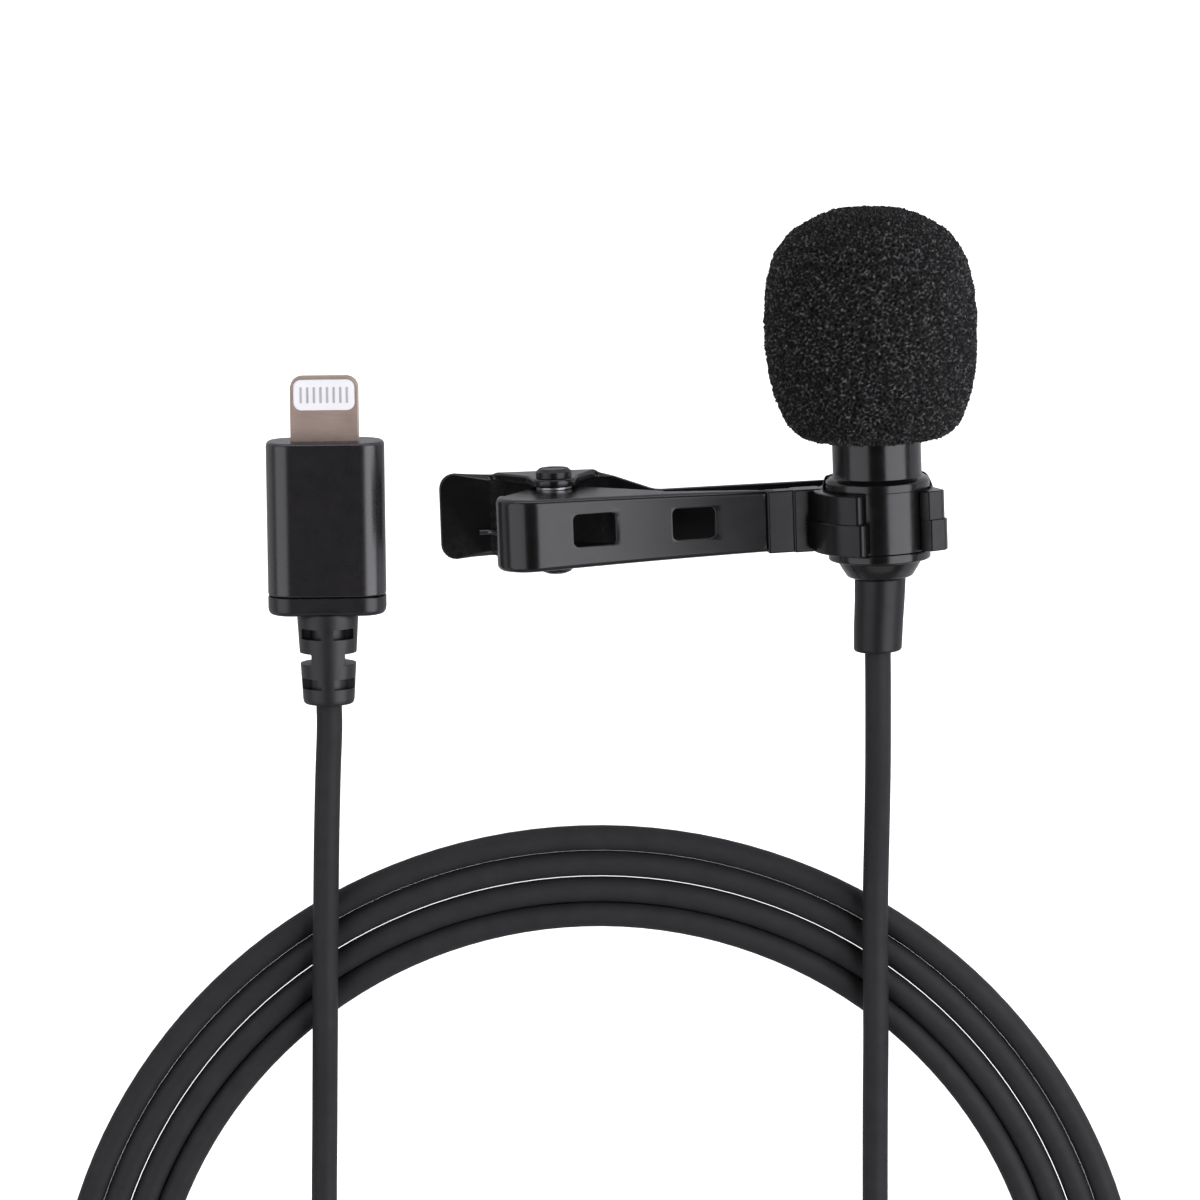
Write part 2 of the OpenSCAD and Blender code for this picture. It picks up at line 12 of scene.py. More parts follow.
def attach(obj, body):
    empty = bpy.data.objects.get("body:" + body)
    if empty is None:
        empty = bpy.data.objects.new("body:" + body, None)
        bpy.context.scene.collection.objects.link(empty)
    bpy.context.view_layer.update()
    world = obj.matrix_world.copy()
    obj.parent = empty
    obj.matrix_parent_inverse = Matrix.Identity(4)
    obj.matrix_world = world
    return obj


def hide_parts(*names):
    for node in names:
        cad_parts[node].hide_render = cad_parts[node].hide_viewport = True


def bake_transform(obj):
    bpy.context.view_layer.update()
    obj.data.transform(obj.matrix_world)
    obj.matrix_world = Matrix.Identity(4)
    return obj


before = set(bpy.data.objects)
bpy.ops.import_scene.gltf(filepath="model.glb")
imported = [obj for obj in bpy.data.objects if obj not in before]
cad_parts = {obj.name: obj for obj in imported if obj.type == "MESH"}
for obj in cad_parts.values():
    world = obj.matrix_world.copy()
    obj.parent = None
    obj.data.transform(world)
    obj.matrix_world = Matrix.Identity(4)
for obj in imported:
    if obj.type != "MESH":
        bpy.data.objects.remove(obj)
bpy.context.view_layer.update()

scene = bpy.context.scene
MM = 0.001
rad = math.radians

# ---- places, in millimetres, as in the construction ------------------------------------------
AX, RY, AZ = 16.25, -8.5, 10.3          # barrel axis, middle of the holder ring, axis height
TILT = rad(10.5)                        # lean of the clip
PIVOT_X, PIVOT_Z = -31.4, 5.5           # pivot from the barrel axis, and over the table
PIVOT_Q = PIVOT_Z - AZ
SHEET = 0.8
CABLE_D = 2.54
CABLE_R = CABLE_D / 2
COIL = (-13.81, -94.42)
COIL_OUT = 54.7
COIL_IN = COIL_OUT - 4 * CABLE_D
TURN_IN, TURN_OUT = COIL_IN + CABLE_R, COIL_OUT - CABLE_R
LOW_Z, TOP_Z = CABLE_R + 0.01, 3 * CABLE_R + 0.02
PLUG = (-37.44, -0.2, 2.8)
PLUG_TURN = rad(1.4)


def at_mic(x, y, z):
    return (AX + x, RY + y, AZ + z)


def on_table(x, y, z):
    return (AX + x, RY + y, z)


def clip_at(a, y, q):
    return (AX + a * math.cos(TILT) + q * math.sin(TILT), RY + y, AZ - a * math.sin(TILT) + q * math.cos(TILT))


def plug_at(x, y, z):
    c, s = math.cos(PLUG_TURN), math.sin(PLUG_TURN)
    return (PLUG[0] + x * c + y * s, PLUG[1] - x * s + y * c, PLUG[2] + z)


# ---- camera ------------------------------------------------------------------------------------
def make_camera():
    down, roll = rad(9.0), rad(2.0)
    fwd = Vector((0, -math.sin(down), -math.cos(down)))
    up0 = Vector((0, math.cos(down), -math.sin(down)))
    side = Vector((1, 0, 0))
    right = side * math.cos(roll) - up0 * math.sin(roll)
    up = up0 * math.cos(roll) + side * math.sin(roll)
    data = bpy.data.cameras.new("camera")
    data.lens = 216.3
    data.sensor_width = 36
    data.clip_start = 0.02
    data.clip_end = 20
    cam = bpy.data.objects.new("camera", data)
    scene.collection.objects.link(cam)
    m = Matrix((right, up, -fwd)).transposed().to_4x4()
    m.translation = Vector((-11.0566, 93.8957, 702.8077)) * MM
    cam.matrix_world = m
    scene.camera = cam


make_camera()

# ---- materials -----------------------------------------------------------------------------------
class Nodes:
    """A short way to lay out a material's nodes."""

    def __init__(self, name):
        self.mat = bpy.data.materials.new(name)
        self.mat.use_nodes = True
        self.tree = self.mat.node_tree
        self.bsdf = self.tree.nodes["Principled BSDF"]
        self.coord = self.tree.nodes.new("ShaderNodeTexCoord").outputs["Object"]

    def link(self, a, b):
        self.tree.links.new(a, b)

    def new(self, kind, **props):
        n = self.tree.nodes.new(kind)
        for k, v in props.items():
            setattr(n, k, v)
        return n

    def noise(self, scale, detail=3.0, rough=0.55, stretch=None):
        n = self.new("ShaderNodeTexNoise")
        n.inputs["Scale"].default_value = scale
        n.inputs["Detail"].default_value = detail
        n.inputs["Roughness"].default_value = rough
        if stretch:
            m = self.new("ShaderNodeMapping")
            m.inputs["Scale"].default_value = stretch
            self.link(self.coord, m.inputs["Vector"])
            self.link(m.outputs["Vector"], n.inputs["Vector"])
        else:
            self.link(self.coord, n.inputs["Vector"])
        return n.outputs["Fac"]

    def voronoi(self, scale, feature="F1", rand=1.0):
        n = self.new("ShaderNodeTexVoronoi", feature=feature)
        n.inputs["Scale"].default_value = scale
        n.inputs["Randomness"].default_value = rand
        self.link(self.coord, n.inputs["Vector"])
        return n.outputs["Distance"]

    def ramp(self, fac, stops):
        n = self.new("ShaderNodeValToRGB")
        el = n.color_ramp.elements
        while len(el) < len(stops):
            el.new(0.5)
        for e, (p, c) in zip(el, stops):
            e.position = p
            e.color = (*c, 1) if hasattr(c, "__len__") else (c, c, c, 1)
        self.link(fac, n.inputs["Fac"])
        return n.outputs["Color"]

    def span(self, fac, lo, hi, a=0.3, b=0.7):
        n = self.new("ShaderNodeMapRange")
        n.inputs["From Min"].default_value = a
        n.inputs["From Max"].default_value = b
        n.inputs["To Min"].default_value = lo
        n.inputs["To Max"].default_value = hi
        self.link(fac, n.inputs["Value"])
        return n.outputs["Result"]

    def mix(self, fac, a, b):
        n = self.new("ShaderNodeMix", data_type="RGBA")
        for value, socket in ((fac, n.inputs[0]), (a, n.inputs[6]), (b, n.inputs[7])):
            if hasattr(value, "is_output"):
                self.link(value, socket)
            elif hasattr(value, "__len__"):
                socket.default_value = (*value, 1)
            else:
                socket.default_value = value
        return n.outputs[2]

    def math(self, op, a, b=None):
        n = self.new("ShaderNodeMath", operation=op)
        for i, v in enumerate((a, b)):
            if v is None:
                continue
            if hasattr(v, "is_output"):
                self.link(v, n.inputs[i])
            else:
                n.inputs[i].default_value = v
        return n.outputs[0]

    def attribute(self, name):
        return self.new("ShaderNodeAttribute", attribute_name=name).outputs["Fac"]

    def bump(self, height, strength, distance):
        n = self.new("ShaderNodeBump")
        n.inputs["Strength"].default_value = strength
        n.inputs["Distance"].default_value = distance
        self.link(height, n.inputs["Height"])
        self.link(n.outputs["Normal"], self.bsdf.inputs["Normal"])

    def set(self, **values):
        for k, v in values.items():
            s = self.bsdf.inputs[k.replace("_", " ")]
            if hasattr(v, "is_output"):
                self.link(v, s)
            elif hasattr(v, "__len__"):
                s.default_value = (*v, 1)
            else:
                s.default_value = v


def grey(v, warm=0.0):
    return (v * (1 + warm), v, v * (1 - warm))


def satin(name, tone, rough, grain=5200, depth=0.000004, strength=0.35, vary=0.25, specular=0.5, edge=0.0, metallic=0.0, stretch=None, warm=-0.03, tint=None, cloudy=0.04):
    """A painted, anodised or moulded surface: a fine grain, cloudy gloss and tone, and edges rubbed a little lighter."""
    n = Nodes(name)
    base = tint or grey(tone, warm)
    cloud = n.noise(260, 4)
    lo = tuple(c * (1 - vary) for c in base)
    hi = tuple(c * (1 + vary) for c in base)
    colour = n.ramp(cloud, [(0.3, lo), (0.7, hi)])
    if edge:
        point = n.new("ShaderNodeNewGeometry").outputs["Pointiness"]
        scuff = n.math("MULTIPLY", n.span(point, 0, edge, 0.52, 0.62), n.span(n.noise(1500, 5), 0.2, 1.0))
        colour = n.mix(scuff, colour, tuple(min(1, c * 4 + 0.02) for c in base))
    n.set(Base_Color=colour, Roughness=n.span(n.noise(700, 4), rough - cloudy, rough + cloudy), Metallic=metallic, Specular_IOR_Level=specular)
    n.bump(n.noise(grain, 2, 0.5, stretch), strength, depth)
    return n.mat


def foam_material():
    n = Nodes("foam_cells")
    # painted light and shade: the pits between struts are painted near black as painted shade, and the struts and
    # sparse specks are painted lighter as painted highlights
    strut_lit_pit_shaded = n.attribute("strut_lit_pit_shaded")
    cloud = n.noise(2600, 3)
    lit = n.ramp(cloud, [(0.35, grey(0.055)), (0.68, grey(0.145))])
    colour = n.mix(n.span(strut_lit_pit_shaded, 0, 1, 0.07, 0.85), grey(0.0045), lit)
    n.set(Base_Color=colour, Roughness=n.span(strut_lit_pit_shaded, 0.85, 0.5, 0.2, 1.0), Specular_IOR_Level=0.14)
    n.bump(n.noise(5200, 2, 0.6), 0.6, 0.00005)
    return n.mat


def cable_material():
    n = Nodes("cable_jacket")
    colour = n.ramp(n.noise(420, 4), [(0.3, grey(0.021, -0.02)), (0.7, grey(0.026, -0.02))])
    n.set(Base_Color=colour, Roughness=n.span(n.noise(1500, 3), 0.52, 0.62), Specular_IOR_Level=0.14)
    n.bump(n.noise(4200, 3, 0.6), 0.3, 0.000006)
    return n.mat


def strap_material():
    n = Nodes("strap_loops")
    weave = n.voronoi(2600, "F1")
    colour = n.ramp(weave, [(0.1, grey(0.05)), (0.6, grey(0.012))])
    n.set(Base_Color=colour, Roughness=n.span(weave, 0.75, 0.95, 0.1, 0.6), Specular_IOR_Level=0.25)
    n.bump(weave, 0.8, 0.00012)
    return n.mat


def tongue_material():
    n = Nodes("tongue_plate")
    brush = n.noise(900, 4, 0.6, (1, 14, 1))
    colour = n.ramp(brush, [(0.3, (0.36, 0.28, 0.235)), (0.7, (0.43, 0.335, 0.28))])
    n.set(Base_Color=colour, Roughness=n.span(n.noise(500, 3), 0.40, 0.52), Metallic=0.55, Specular_IOR_Level=0.5)
    n.bump(brush, 0.2, 0.000004)
    return n.mat


def weave_material():
    n = Nodes("acoustic_cloth")
    cell = n.voronoi(6500, "F1", 0.25)
    colour = n.ramp(cell, [(0.1, grey(0.09)), (0.55, grey(0.015))])
    n.set(Base_Color=colour, Roughness=n.span(cell, 0.6, 0.9, 0.1, 0.6))
    n.bump(cell, 0.8, 0.00005)
    return n.mat


def board_material():
    n = Nodes("board_mask")
    lines = n.noise(1400, 2, 0.4)
    colour = n.ramp(lines, [(0.44, (0.012, 0.09, 0.035)), (0.52, (0.03, 0.17, 0.06))])
    n.set(Base_Color=colour, Roughness=n.span(n.noise(900, 2), 0.3, 0.45))
    n.bump(lines, 0.2, 0.00002)
    return n.mat


M = {
    "foam": foam_material(),
    "barrel": satin("barrel_black", 0.0042, 0.20, grain=4200, depth=0.000003, strength=0.25, edge=0.25),
    "arm": satin("clip_paint", 0.005, 0.21, grain=3600, depth=0.000006, strength=0.3, edge=0.4, cloudy=0.015),
    "holder": satin("holder_plastic", 0.0042, 0.24, grain=2600, depth=0.000005, strength=0.25, specular=0.28, edge=0.2),
    "sleeve": satin("sleeve_rubber", 0.006, 0.42, grain=3200, depth=0.000008, strength=0.35, specular=0.3),
    "relief": satin("relief_rubber", 0.0075, 0.42, grain=3200, depth=0.000010, strength=0.35, specular=0.45),
    "shell": satin("shell_anodised", 0.0075, 0.28, grain=7000, depth=0.000003, strength=0.12, edge=0.12, specular=0.75, tint=(0.0082, 0.0073, 0.0082), cloudy=0.015),
    "cap": satin("plug_cap_plastic", 0.008, 0.34, grain=4000, depth=0.000006, strength=0.3),
    "cable": cable_material(),
    "tongue": tongue_material(),
    "carrier": satin("carrier_plastic", 0.88, 0.38, grain=2500, depth=0.000005, strength=0.2, vary=0.03, warm=0.0),
    "pins": satin("pin_plating", 0.52, 0.42, grain=3000, depth=0.000003, strength=0.2, metallic=0.35, vary=0.1, warm=0.02),
    "strap": strap_material(),
    "cloth": weave_material(),
    "steel": satin("plain_steel", 0.5, 0.34, grain=2200, depth=0.000006, strength=0.3, metallic=1.0, vary=0.1, stretch=(1, 9, 1)),
    "screw": satin("blackened_screw", 0.006, 0.28, grain=2600, depth=0.000005, strength=0.3, metallic=0.3, edge=0.4),
    "spring": satin("spring_steel", 0.09, 0.36, grain=2200, depth=0.000006, strength=0.3, metallic=1.0, vary=0.15, stretch=(1, 9, 1)),
    "can": satin("can_aluminium", 0.7, 0.30, grain=2500, depth=0.000004, strength=0.25, metallic=1.0, vary=0.06),
    "board": board_material(),
    "chip": satin("chip_epoxy", 0.012, 0.5, grain=5000, depth=0.000010, strength=0.5),
    "gold": satin("gold_film", 0.6, 0.26, grain=1800, depth=0.000004, strength=0.2, metallic=1.0, vary=0.08, tint=(0.83, 0.62, 0.27)),
    "wire": satin("wire_cover", 0.3, 0.42, grain=3000, depth=0.000006, strength=0.3, vary=0.15, tint=(0.5, 0.07, 0.045)),
    "boot": satin("boot_rubber", 0.02, 0.6, grain=2600, depth=0.000012, strength=0.4, specular=0.35),
}

# ---- mesh helpers ---------------------------------------------------------------------------------
def finish_mesh(bm, name, material, body, nodes, angle=32, weld=None, scale=MM, weighted=True):
    """Turns a bmesh in millimetres into a piece that rides on a body and stands for CAD nodes."""
    if weld:
        bmesh.ops.remove_doubles(bm, verts=bm.verts, dist=weld)
    bmesh.ops.recalc_face_normals(bm, faces=bm.faces)
    if bm.calc_volume(signed=True) < 0:
        bmesh.ops.reverse_faces(bm, faces=bm.faces)
    if scale != 1:
        bmesh.ops.scale(bm, vec=(scale,) * 3, verts=bm.verts)
    me = bpy.data.meshes.new(name)
    bm.to_mesh(me)
    bm.free()
    me.shade_smooth()
    me.set_sharp_from_angle(angle=rad(angle))
    o = bpy.data.objects.new(name, me)
    scene.collection.objects.link(o)
    me.materials.append(M[material])
    if weighted:
        w = o.modifiers.new("normals", "WEIGHTED_NORMAL")
        w.keep_sharp = True
        w.weight = 80
    if body:
        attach(o, body)
    if nodes:
        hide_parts(*nodes)
    return o


def rounded(pts, n=5):
    """A closed outline whose corners (x, y, r) are rounded to r."""
    out = []
    k = len(pts)
    for i in range(k):
        p = Vector(pts[i][:2])
        r = pts[i][2] if len(pts[i]) > 2 else 0
        a, b = Vector(pts[i - 1][:2]) - p, Vector(pts[(i + 1) % k][:2]) - p
        if r <= 0 or a.length < 1e-9 or b.length < 1e-9:
            out.append(tuple(p))
            continue
        la, lb = a.length, b.length
        a.normalize()
        b.normalize()
        ang = a.angle(b)
        if ang > math.pi - 0.02:
            out.append(tuple(p))
            continue
        d = r / math.tan(ang / 2)
        for q, l in ((pts[i - 1], la), (pts[(i + 1) % k], lb)):
            d = min(d, (0.48 if len(q) > 2 and q[2] > 0 else 0.97) * l)
        r = d * math.tan(ang / 2)
        c = p + (a + b).normalized() * (r / math.sin(ang / 2))
        s, e = p + a * d - c, p + b * d - c
        sweep = s.angle(e)
        axis = 1 if s.x * e.y - s.y * e.x > 0 else -1
        steps = max(2, int(round(n * sweep / (math.pi / 2))))
        for j in range(steps + 1):
            t = axis * sweep * j / steps
            out.append((c.x + s.x * math.cos(t) - s.y * math.sin(t), c.y + s.x * math.sin(t) + s.y * math.cos(t)))
    return out


def box_loop(x0, y0, x1, y1, r, n=5):
    return rounded([(x0, y0, r), (x1, y0, r), (x1, y1, r), (x0, y1, r)], n)


def arc(cx, cy, r, a0, a1, n):
    return [(cx + r * math.cos(rad(a0 + (a1 - a0) * i / n)), cy + r * math.sin(rad(a0 + (a1 - a0) * i / n))) for i in range(n + 1)]


def area2(loop):
    return sum(a[0] * b[1] - a[1] * b[0] for a, b in zip(loop, loop[1:] + loop[:1]))


def clean(loop):
    out = [p for i, p in enumerate(loop) if math.dist(p, loop[i - 1]) > 1e-5]
    return out


def inset(loop, d):
    """Moves a loop to its left, into the material, by d."""
    out = []
    k = len(loop)
    for i in range(k):
        p = Vector(loop[i])
        a = (p - Vector(loop[i - 1])).normalized()
        b = (Vector(loop[(i + 1) % k]) - p).normalized()
        na, nb = Vector((-a.y, a.x)), Vector((-b.y, b.x))
        m = (na + nb) / max(0.25, 1 + na.dot(nb))
        out.append(tuple(p + m * d))
    return out


def inside(p, loops):
    hit = False
    for loop in loops:
        for a, b in zip(loop, loop[1:] + loop[:1]):
            if (a[1] > p[1]) != (b[1] > p[1]) and p[0] < (b[0] - a[0]) * (p[1] - a[1]) / (b[1] - a[1]) + a[0]:
                hit = not hit
    return hit


def plate(loops, t, bevels, n=3):
    """A sheet z = -t/2 to t/2 with outline loops[0] and holes loops[1:]; bevels gives each loop's (upper, lower) edge radius."""
    bm = bmesh.new()
    loops = [clean(l) for l in loops]
    loops = [l if (area2(l) > 0) == (i == 0) else l[::-1] for i, l in enumerate(loops)]
    firsts, lasts = [], []
    for loop, (bu, bl) in zip(loops, bevels):
        rings = []
        for j in range(n + 1):
            f = math.pi / 2 * j / n
            rings.append((bu * (1 - math.sin(f)), t / 2 - bu * (1 - math.cos(f))))
        for j in range(n + 1):
            f = math.pi / 2 * j / n
            rings.append((bl * (1 - math.cos(f)), -t / 2 + bl * (1 - math.sin(f))))
        made = []
        for d, z in rings:
            made.append([bm.verts.new((x, y, z)) for x, y in inset(loop, d)])
        k = len(loop)
        for a, b in zip(made, made[1:]):
            for i in range(k):
                bm.faces.new((a[i], b[i], b[(i + 1) % k], a[(i + 1) % k]))
        firsts.append(made[0])
        lasts.append(made[-1])
    for rings, flip in ((firsts, False), (lasts, True)):
        verts = [v for r in rings for v in r]
        flat = [[(v.co.x, v.co.y) for v in r] for r in rings]
        pts = [Vector(p) for r in flat for p in r]
        edges, base = [], 0
        for r in flat:
            edges += [(base + i, base + (i + 1) % len(r)) for i in range(len(r))]
            base += len(r)
        co, _, tris, ids, _, _ = delaunay_2d_cdt(pts, edges, [], 0, 1e-7)
        for tri in tris:
            c = sum((Vector(co[i]) for i in tri), Vector((0, 0))) / len(tri)
            if inside(c, flat):
                vs = [verts[ids[i][0]] for i in tri]
                if len(set(vs)) == len(vs):
                    try:
                        bm.faces.new(vs[::-1] if flip else vs)
                    except ValueError:
                        pass
    bmesh.ops.remove_doubles(bm, verts=bm.verts, dist=1e-5)
    return bm


def cut(bm, axis, values):
    for v in values:
        co, no = [0, 0, 0], [0, 0, 0]
        co[axis], no[axis] = v, 1
        bmesh.ops.bisect_plane(bm, geom=bm.verts[:] + bm.edges[:] + bm.faces[:], dist=1e-5, plane_co=co, plane_no=no)


def bend(bm, to):
    for v in bm.verts:
        v.co = to(*v.co)


def join(*bms):
    first = bms[0]
    for other in bms[1:]:
        me = bpy.data.meshes.new("part")
        other.to_mesh(me)
        other.free()
        first.from_mesh(me)
        bpy.data.meshes.remove(me)
    return first


def boolean(bm, others, mode):
    """Exact union or difference of closed shells, in millimetres."""
    def temp(b):
        bmesh.ops.recalc_face_normals(b, faces=b.faces)
        me = bpy.data.meshes.new("shell")
        b.to_mesh(me)
        b.free()
        o = bpy.data.objects.new("shell", me)
        scene.collection.objects.link(o)
        return o
    base = temp(bm)
    tools = [temp(b) for b in others]
    for t in tools:
        m = base.modifiers.new("b", "BOOLEAN")
        m.operation = mode
        m.solver = "EXACT"
        m.object = t
    dg = bpy.context.evaluated_depsgraph_get()
    dg.update()
    me = bpy.data.meshes.new_from_object(base.evaluated_get(dg))
    out = bmesh.new()
    out.from_mesh(me)
    bpy.data.meshes.remove(me)
    for o in [base] + tools:
        d = o.data
        bpy.data.objects.remove(o)
        bpy.data.meshes.remove(d)
    return out


def lathe(profile, segs=112, place=at_mic, closed=True):
    """A closed (r, v) outline turned round the Y axis."""
    bm = bmesh.new()
    rings = []
    for r, v in profile:
        if r < 1e-6:
            rings.append([bm.verts.new(place(0, v, 0))])
        else:
            rings.append([bm.verts.new(place(r * math.cos(2 * math.pi * i / segs), v, r * math.sin(2 * math.pi * i / segs))) for i in range(segs)])
    pairs = list(zip(rings, rings[1:]))
    if closed:
        pairs.append((rings[-1], rings[0]))
    for a, b in pairs:
        if len(a) == 1 and len(b) == 1:
            continue
        for i in range(segs):
            j = (i + 1) % segs
            if len(a) == 1:
                bm.faces.new((a[0], b[i], b[j]))
            elif len(b) == 1:
                bm.faces.new((a[i], b[0], a[j]))
            else:
                bm.faces.new((a[i], b[i], b[j], a[j]))
    return bm


def loft(sections, place, cap=True):
    """Skins loops of equal length, each a list of (x, y, z)."""
    bm = bmesh.new()
    rings = [[bm.verts.new(place(*p)) for p in s] for s in sections]
    for a, b in zip(rings, rings[1:]):
        k = len(a)
        for i in range(k):
            bm.faces.new((a[i], b[i], b[(i + 1) % k], a[(i + 1) % k]))
    if cap:
        bm.faces.new(rings[0])
        bm.faces.new(rings[-1])
    return bm


def smooth(pts, n):
    """A smooth line through the points, n steps to each."""
    out = []
    p = [Vector(q) for q in pts]
    for i in range(len(p) - 1):
        a, b, c, d = p[max(i - 1, 0)], p[i], p[i + 1], p[min(i + 2, len(p) - 1)]
        for j in range(n):
            t = j / n
            out.append(0.5 * (2 * b + (c - a) * t + (2 * a - 5 * b + 4 * c - d) * t * t + (3 * b - a - 3 * c + d) * t ** 3))
    out.append(p[-1])
    return out


def tube(pts, r, sides, ref=(0, 1, 0), place=None):
    bm = bmesh.new()
    p = [Vector(q) for q in pts]
    rings = []
    ref = Vector(ref)
    for i in range(len(p)):
        t = (p[min(i + 1, len(p) - 1)] - p[max(i - 1, 0)]).normalized()
        s = t.cross(ref).normalized()
        u = s.cross(t)
        rings.append([bm.verts.new(place(*(p[i] + r * (math.cos(2 * math.pi * k / sides) * s + math.sin(2 * math.pi * k / sides) * u)))) for k in range(sides)])
    for a, b in zip(rings, rings[1:]):
        for k in range(sides):
            bm.faces.new((a[k], b[k], b[(k + 1) % sides], a[(k + 1) % sides]))
    bm.faces.new(rings[0])
    bm.faces.new(rings[-1])
    return bm


# ---- the cable, one line from the barrel through the coil to the plug ---------------------------
def on_coil(r, a, z):
    return (COIL[0] + r * math.cos(rad(a)), COIL[1] + r * math.sin(rad(a)), z)


def on_plug(y):
    return (PLUG[0] + y * math.sin(PLUG_TURN), PLUG[1] + y * math.cos(PLUG_TURN), PLUG[2])


def ease(t):
    t = min(1, max(0, t))
    return t * t * (3 - 2 * t)


def sway(v):
    """How far the soft sleeve leans to the side, at a height along the barrel."""
    return -0.44 * ease((-5.4 - v) / 8.2) - 0.02 * max(0, -13.2 - v)


def cable_points():
    mic = [(AX + sway(v), RY + v, AZ) for v in (-2.1, -6, -8, -10.6, -13.2, -15.7)]
    mic += [(15.66, -29, 9.6), (15.57, -34, 8), (15.4, -40, 5.8), (15.17, -46, 4.3), (15.0, -51, 3.9), (14.87, -57, 3.9),
            (14.75, -62, 3.8), (14.6, -67, 3), (14.45, -73, 1.9), (14.3, -79, 1.4), (14.1, -87, 1.3), (13.8, -97, 1.3), (13.5, -108, 1.3)]
    mic += [(COIL[0] + 7 + 20 * math.cos(rad(a)), COIL[1] - 24.8 + 20 * math.sin(rad(a)), LOW_Z) for a in (0, -25, -50)]
    coil = []
    total = 3 * 360 + 275
    for i in range(0, total + 1, 10):
        k, f = divmod(i, 360)
        shift = ease((f - 300) / 60) if k < 3 else 0
        angle = -75 - i
        off = (angle - 200) % 360
        off = min(off, 360 - off)
        turn = k + shift
        loose = float(np.interp(turn, (0, 1, 2, 3), (-0.065, -0.065, 0, 0.012)))      # the turns lie side by side with hair-thin gaps
        coil.append(on_coil(TURN_IN + CABLE_D * turn + loose, angle, LOW_Z + 0.62 * ease((27 - off) / 20)))
    coil.append(on_coil(TURN_OUT + 0.012, 5, 1.4))
    plug = [on_plug(v) for v in (-15, -20, -26.1, -28.7)]
    plug += [(-38.5, -34, 3.2), (-38.85, -40, 3.7), (-39.15, -46, 3.9), (-39.45, -52, 3.9), (-39.7, -58, 3.9), (-40, -64, 3),
             (-40.3, -70, 1.9), (-40.6, -76, 1.4), (-40.9, -84, 1.3), (-41.2, -95, 1.3), (-41.4, -106, 1.6), (-41.3, -114, 2.6)]
    plug += [(COIL[0] - 7.7 + 20 * math.cos(rad(a)), COIL[1] - 24.6 + 20 * math.sin(rad(a)), 3.4 if a < 200 else TOP_Z) for a in (195, 215, 235)]
    plug += [on_coil(TURN_IN + (TURN_OUT - TURN_IN) * (a + 107) / 84, a, TOP_Z) for a in range(-107, -22, 12)]
    plug += [on_coil(TURN_OUT, -14, 3.2), on_coil(TURN_OUT, -5, 2.1)]
    return smooth(mic + coil + plug[::-1], 4)


def make_cable():
    pts = cable_points()
    cu = bpy.data.curves.new("cable", "CURVE")
    cu.dimensions = "3D"
    cu.bevel_depth = CABLE_R * MM
    cu.bevel_resolution = 6
    cu.use_fill_caps = True
    sp = cu.splines.new("POLY")
    sp.points.add(len(pts) - 1)
    for q, p in zip(sp.points, pts):
        q.co = (p.x * MM, p.y * MM, p.z * MM, 1)
    sp.use_smooth = True
    o = bpy.data.objects.new("cable", cu)
    scene.collection.objects.link(o)
    cu.materials.append(M["cable"])
    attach(o, "microphone")
    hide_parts("mic_lead", "cable_coil", "plug_lead")
    length = sum((b - a).length for a, b in zip(pts, pts[1:])) * MM
    return o, length


cable, cable_length = make_cable()

# ---- microphone -------------------------------------------------------------------------------------
def foam_outline():
    half = [(0.0, 0.982), (0.12, 0.982), (0.24, 0.978), (0.35, 0.96), (0.55, 0.885), (0.73, 0.785), (0.845, 0.665), (0.912, 0.545), (0.965, 0.365),
            (0.993, 0.14), (1.0, -0.05), (0.99, -0.26), (0.965, -0.45), (0.915, -0.65), (0.82, -0.85), (0.73, -0.94), (0.63, -0.987), (0.47, -1.0)]
    return [(r * 10.25, 18.95 + h * 11.25) for r, h in half]


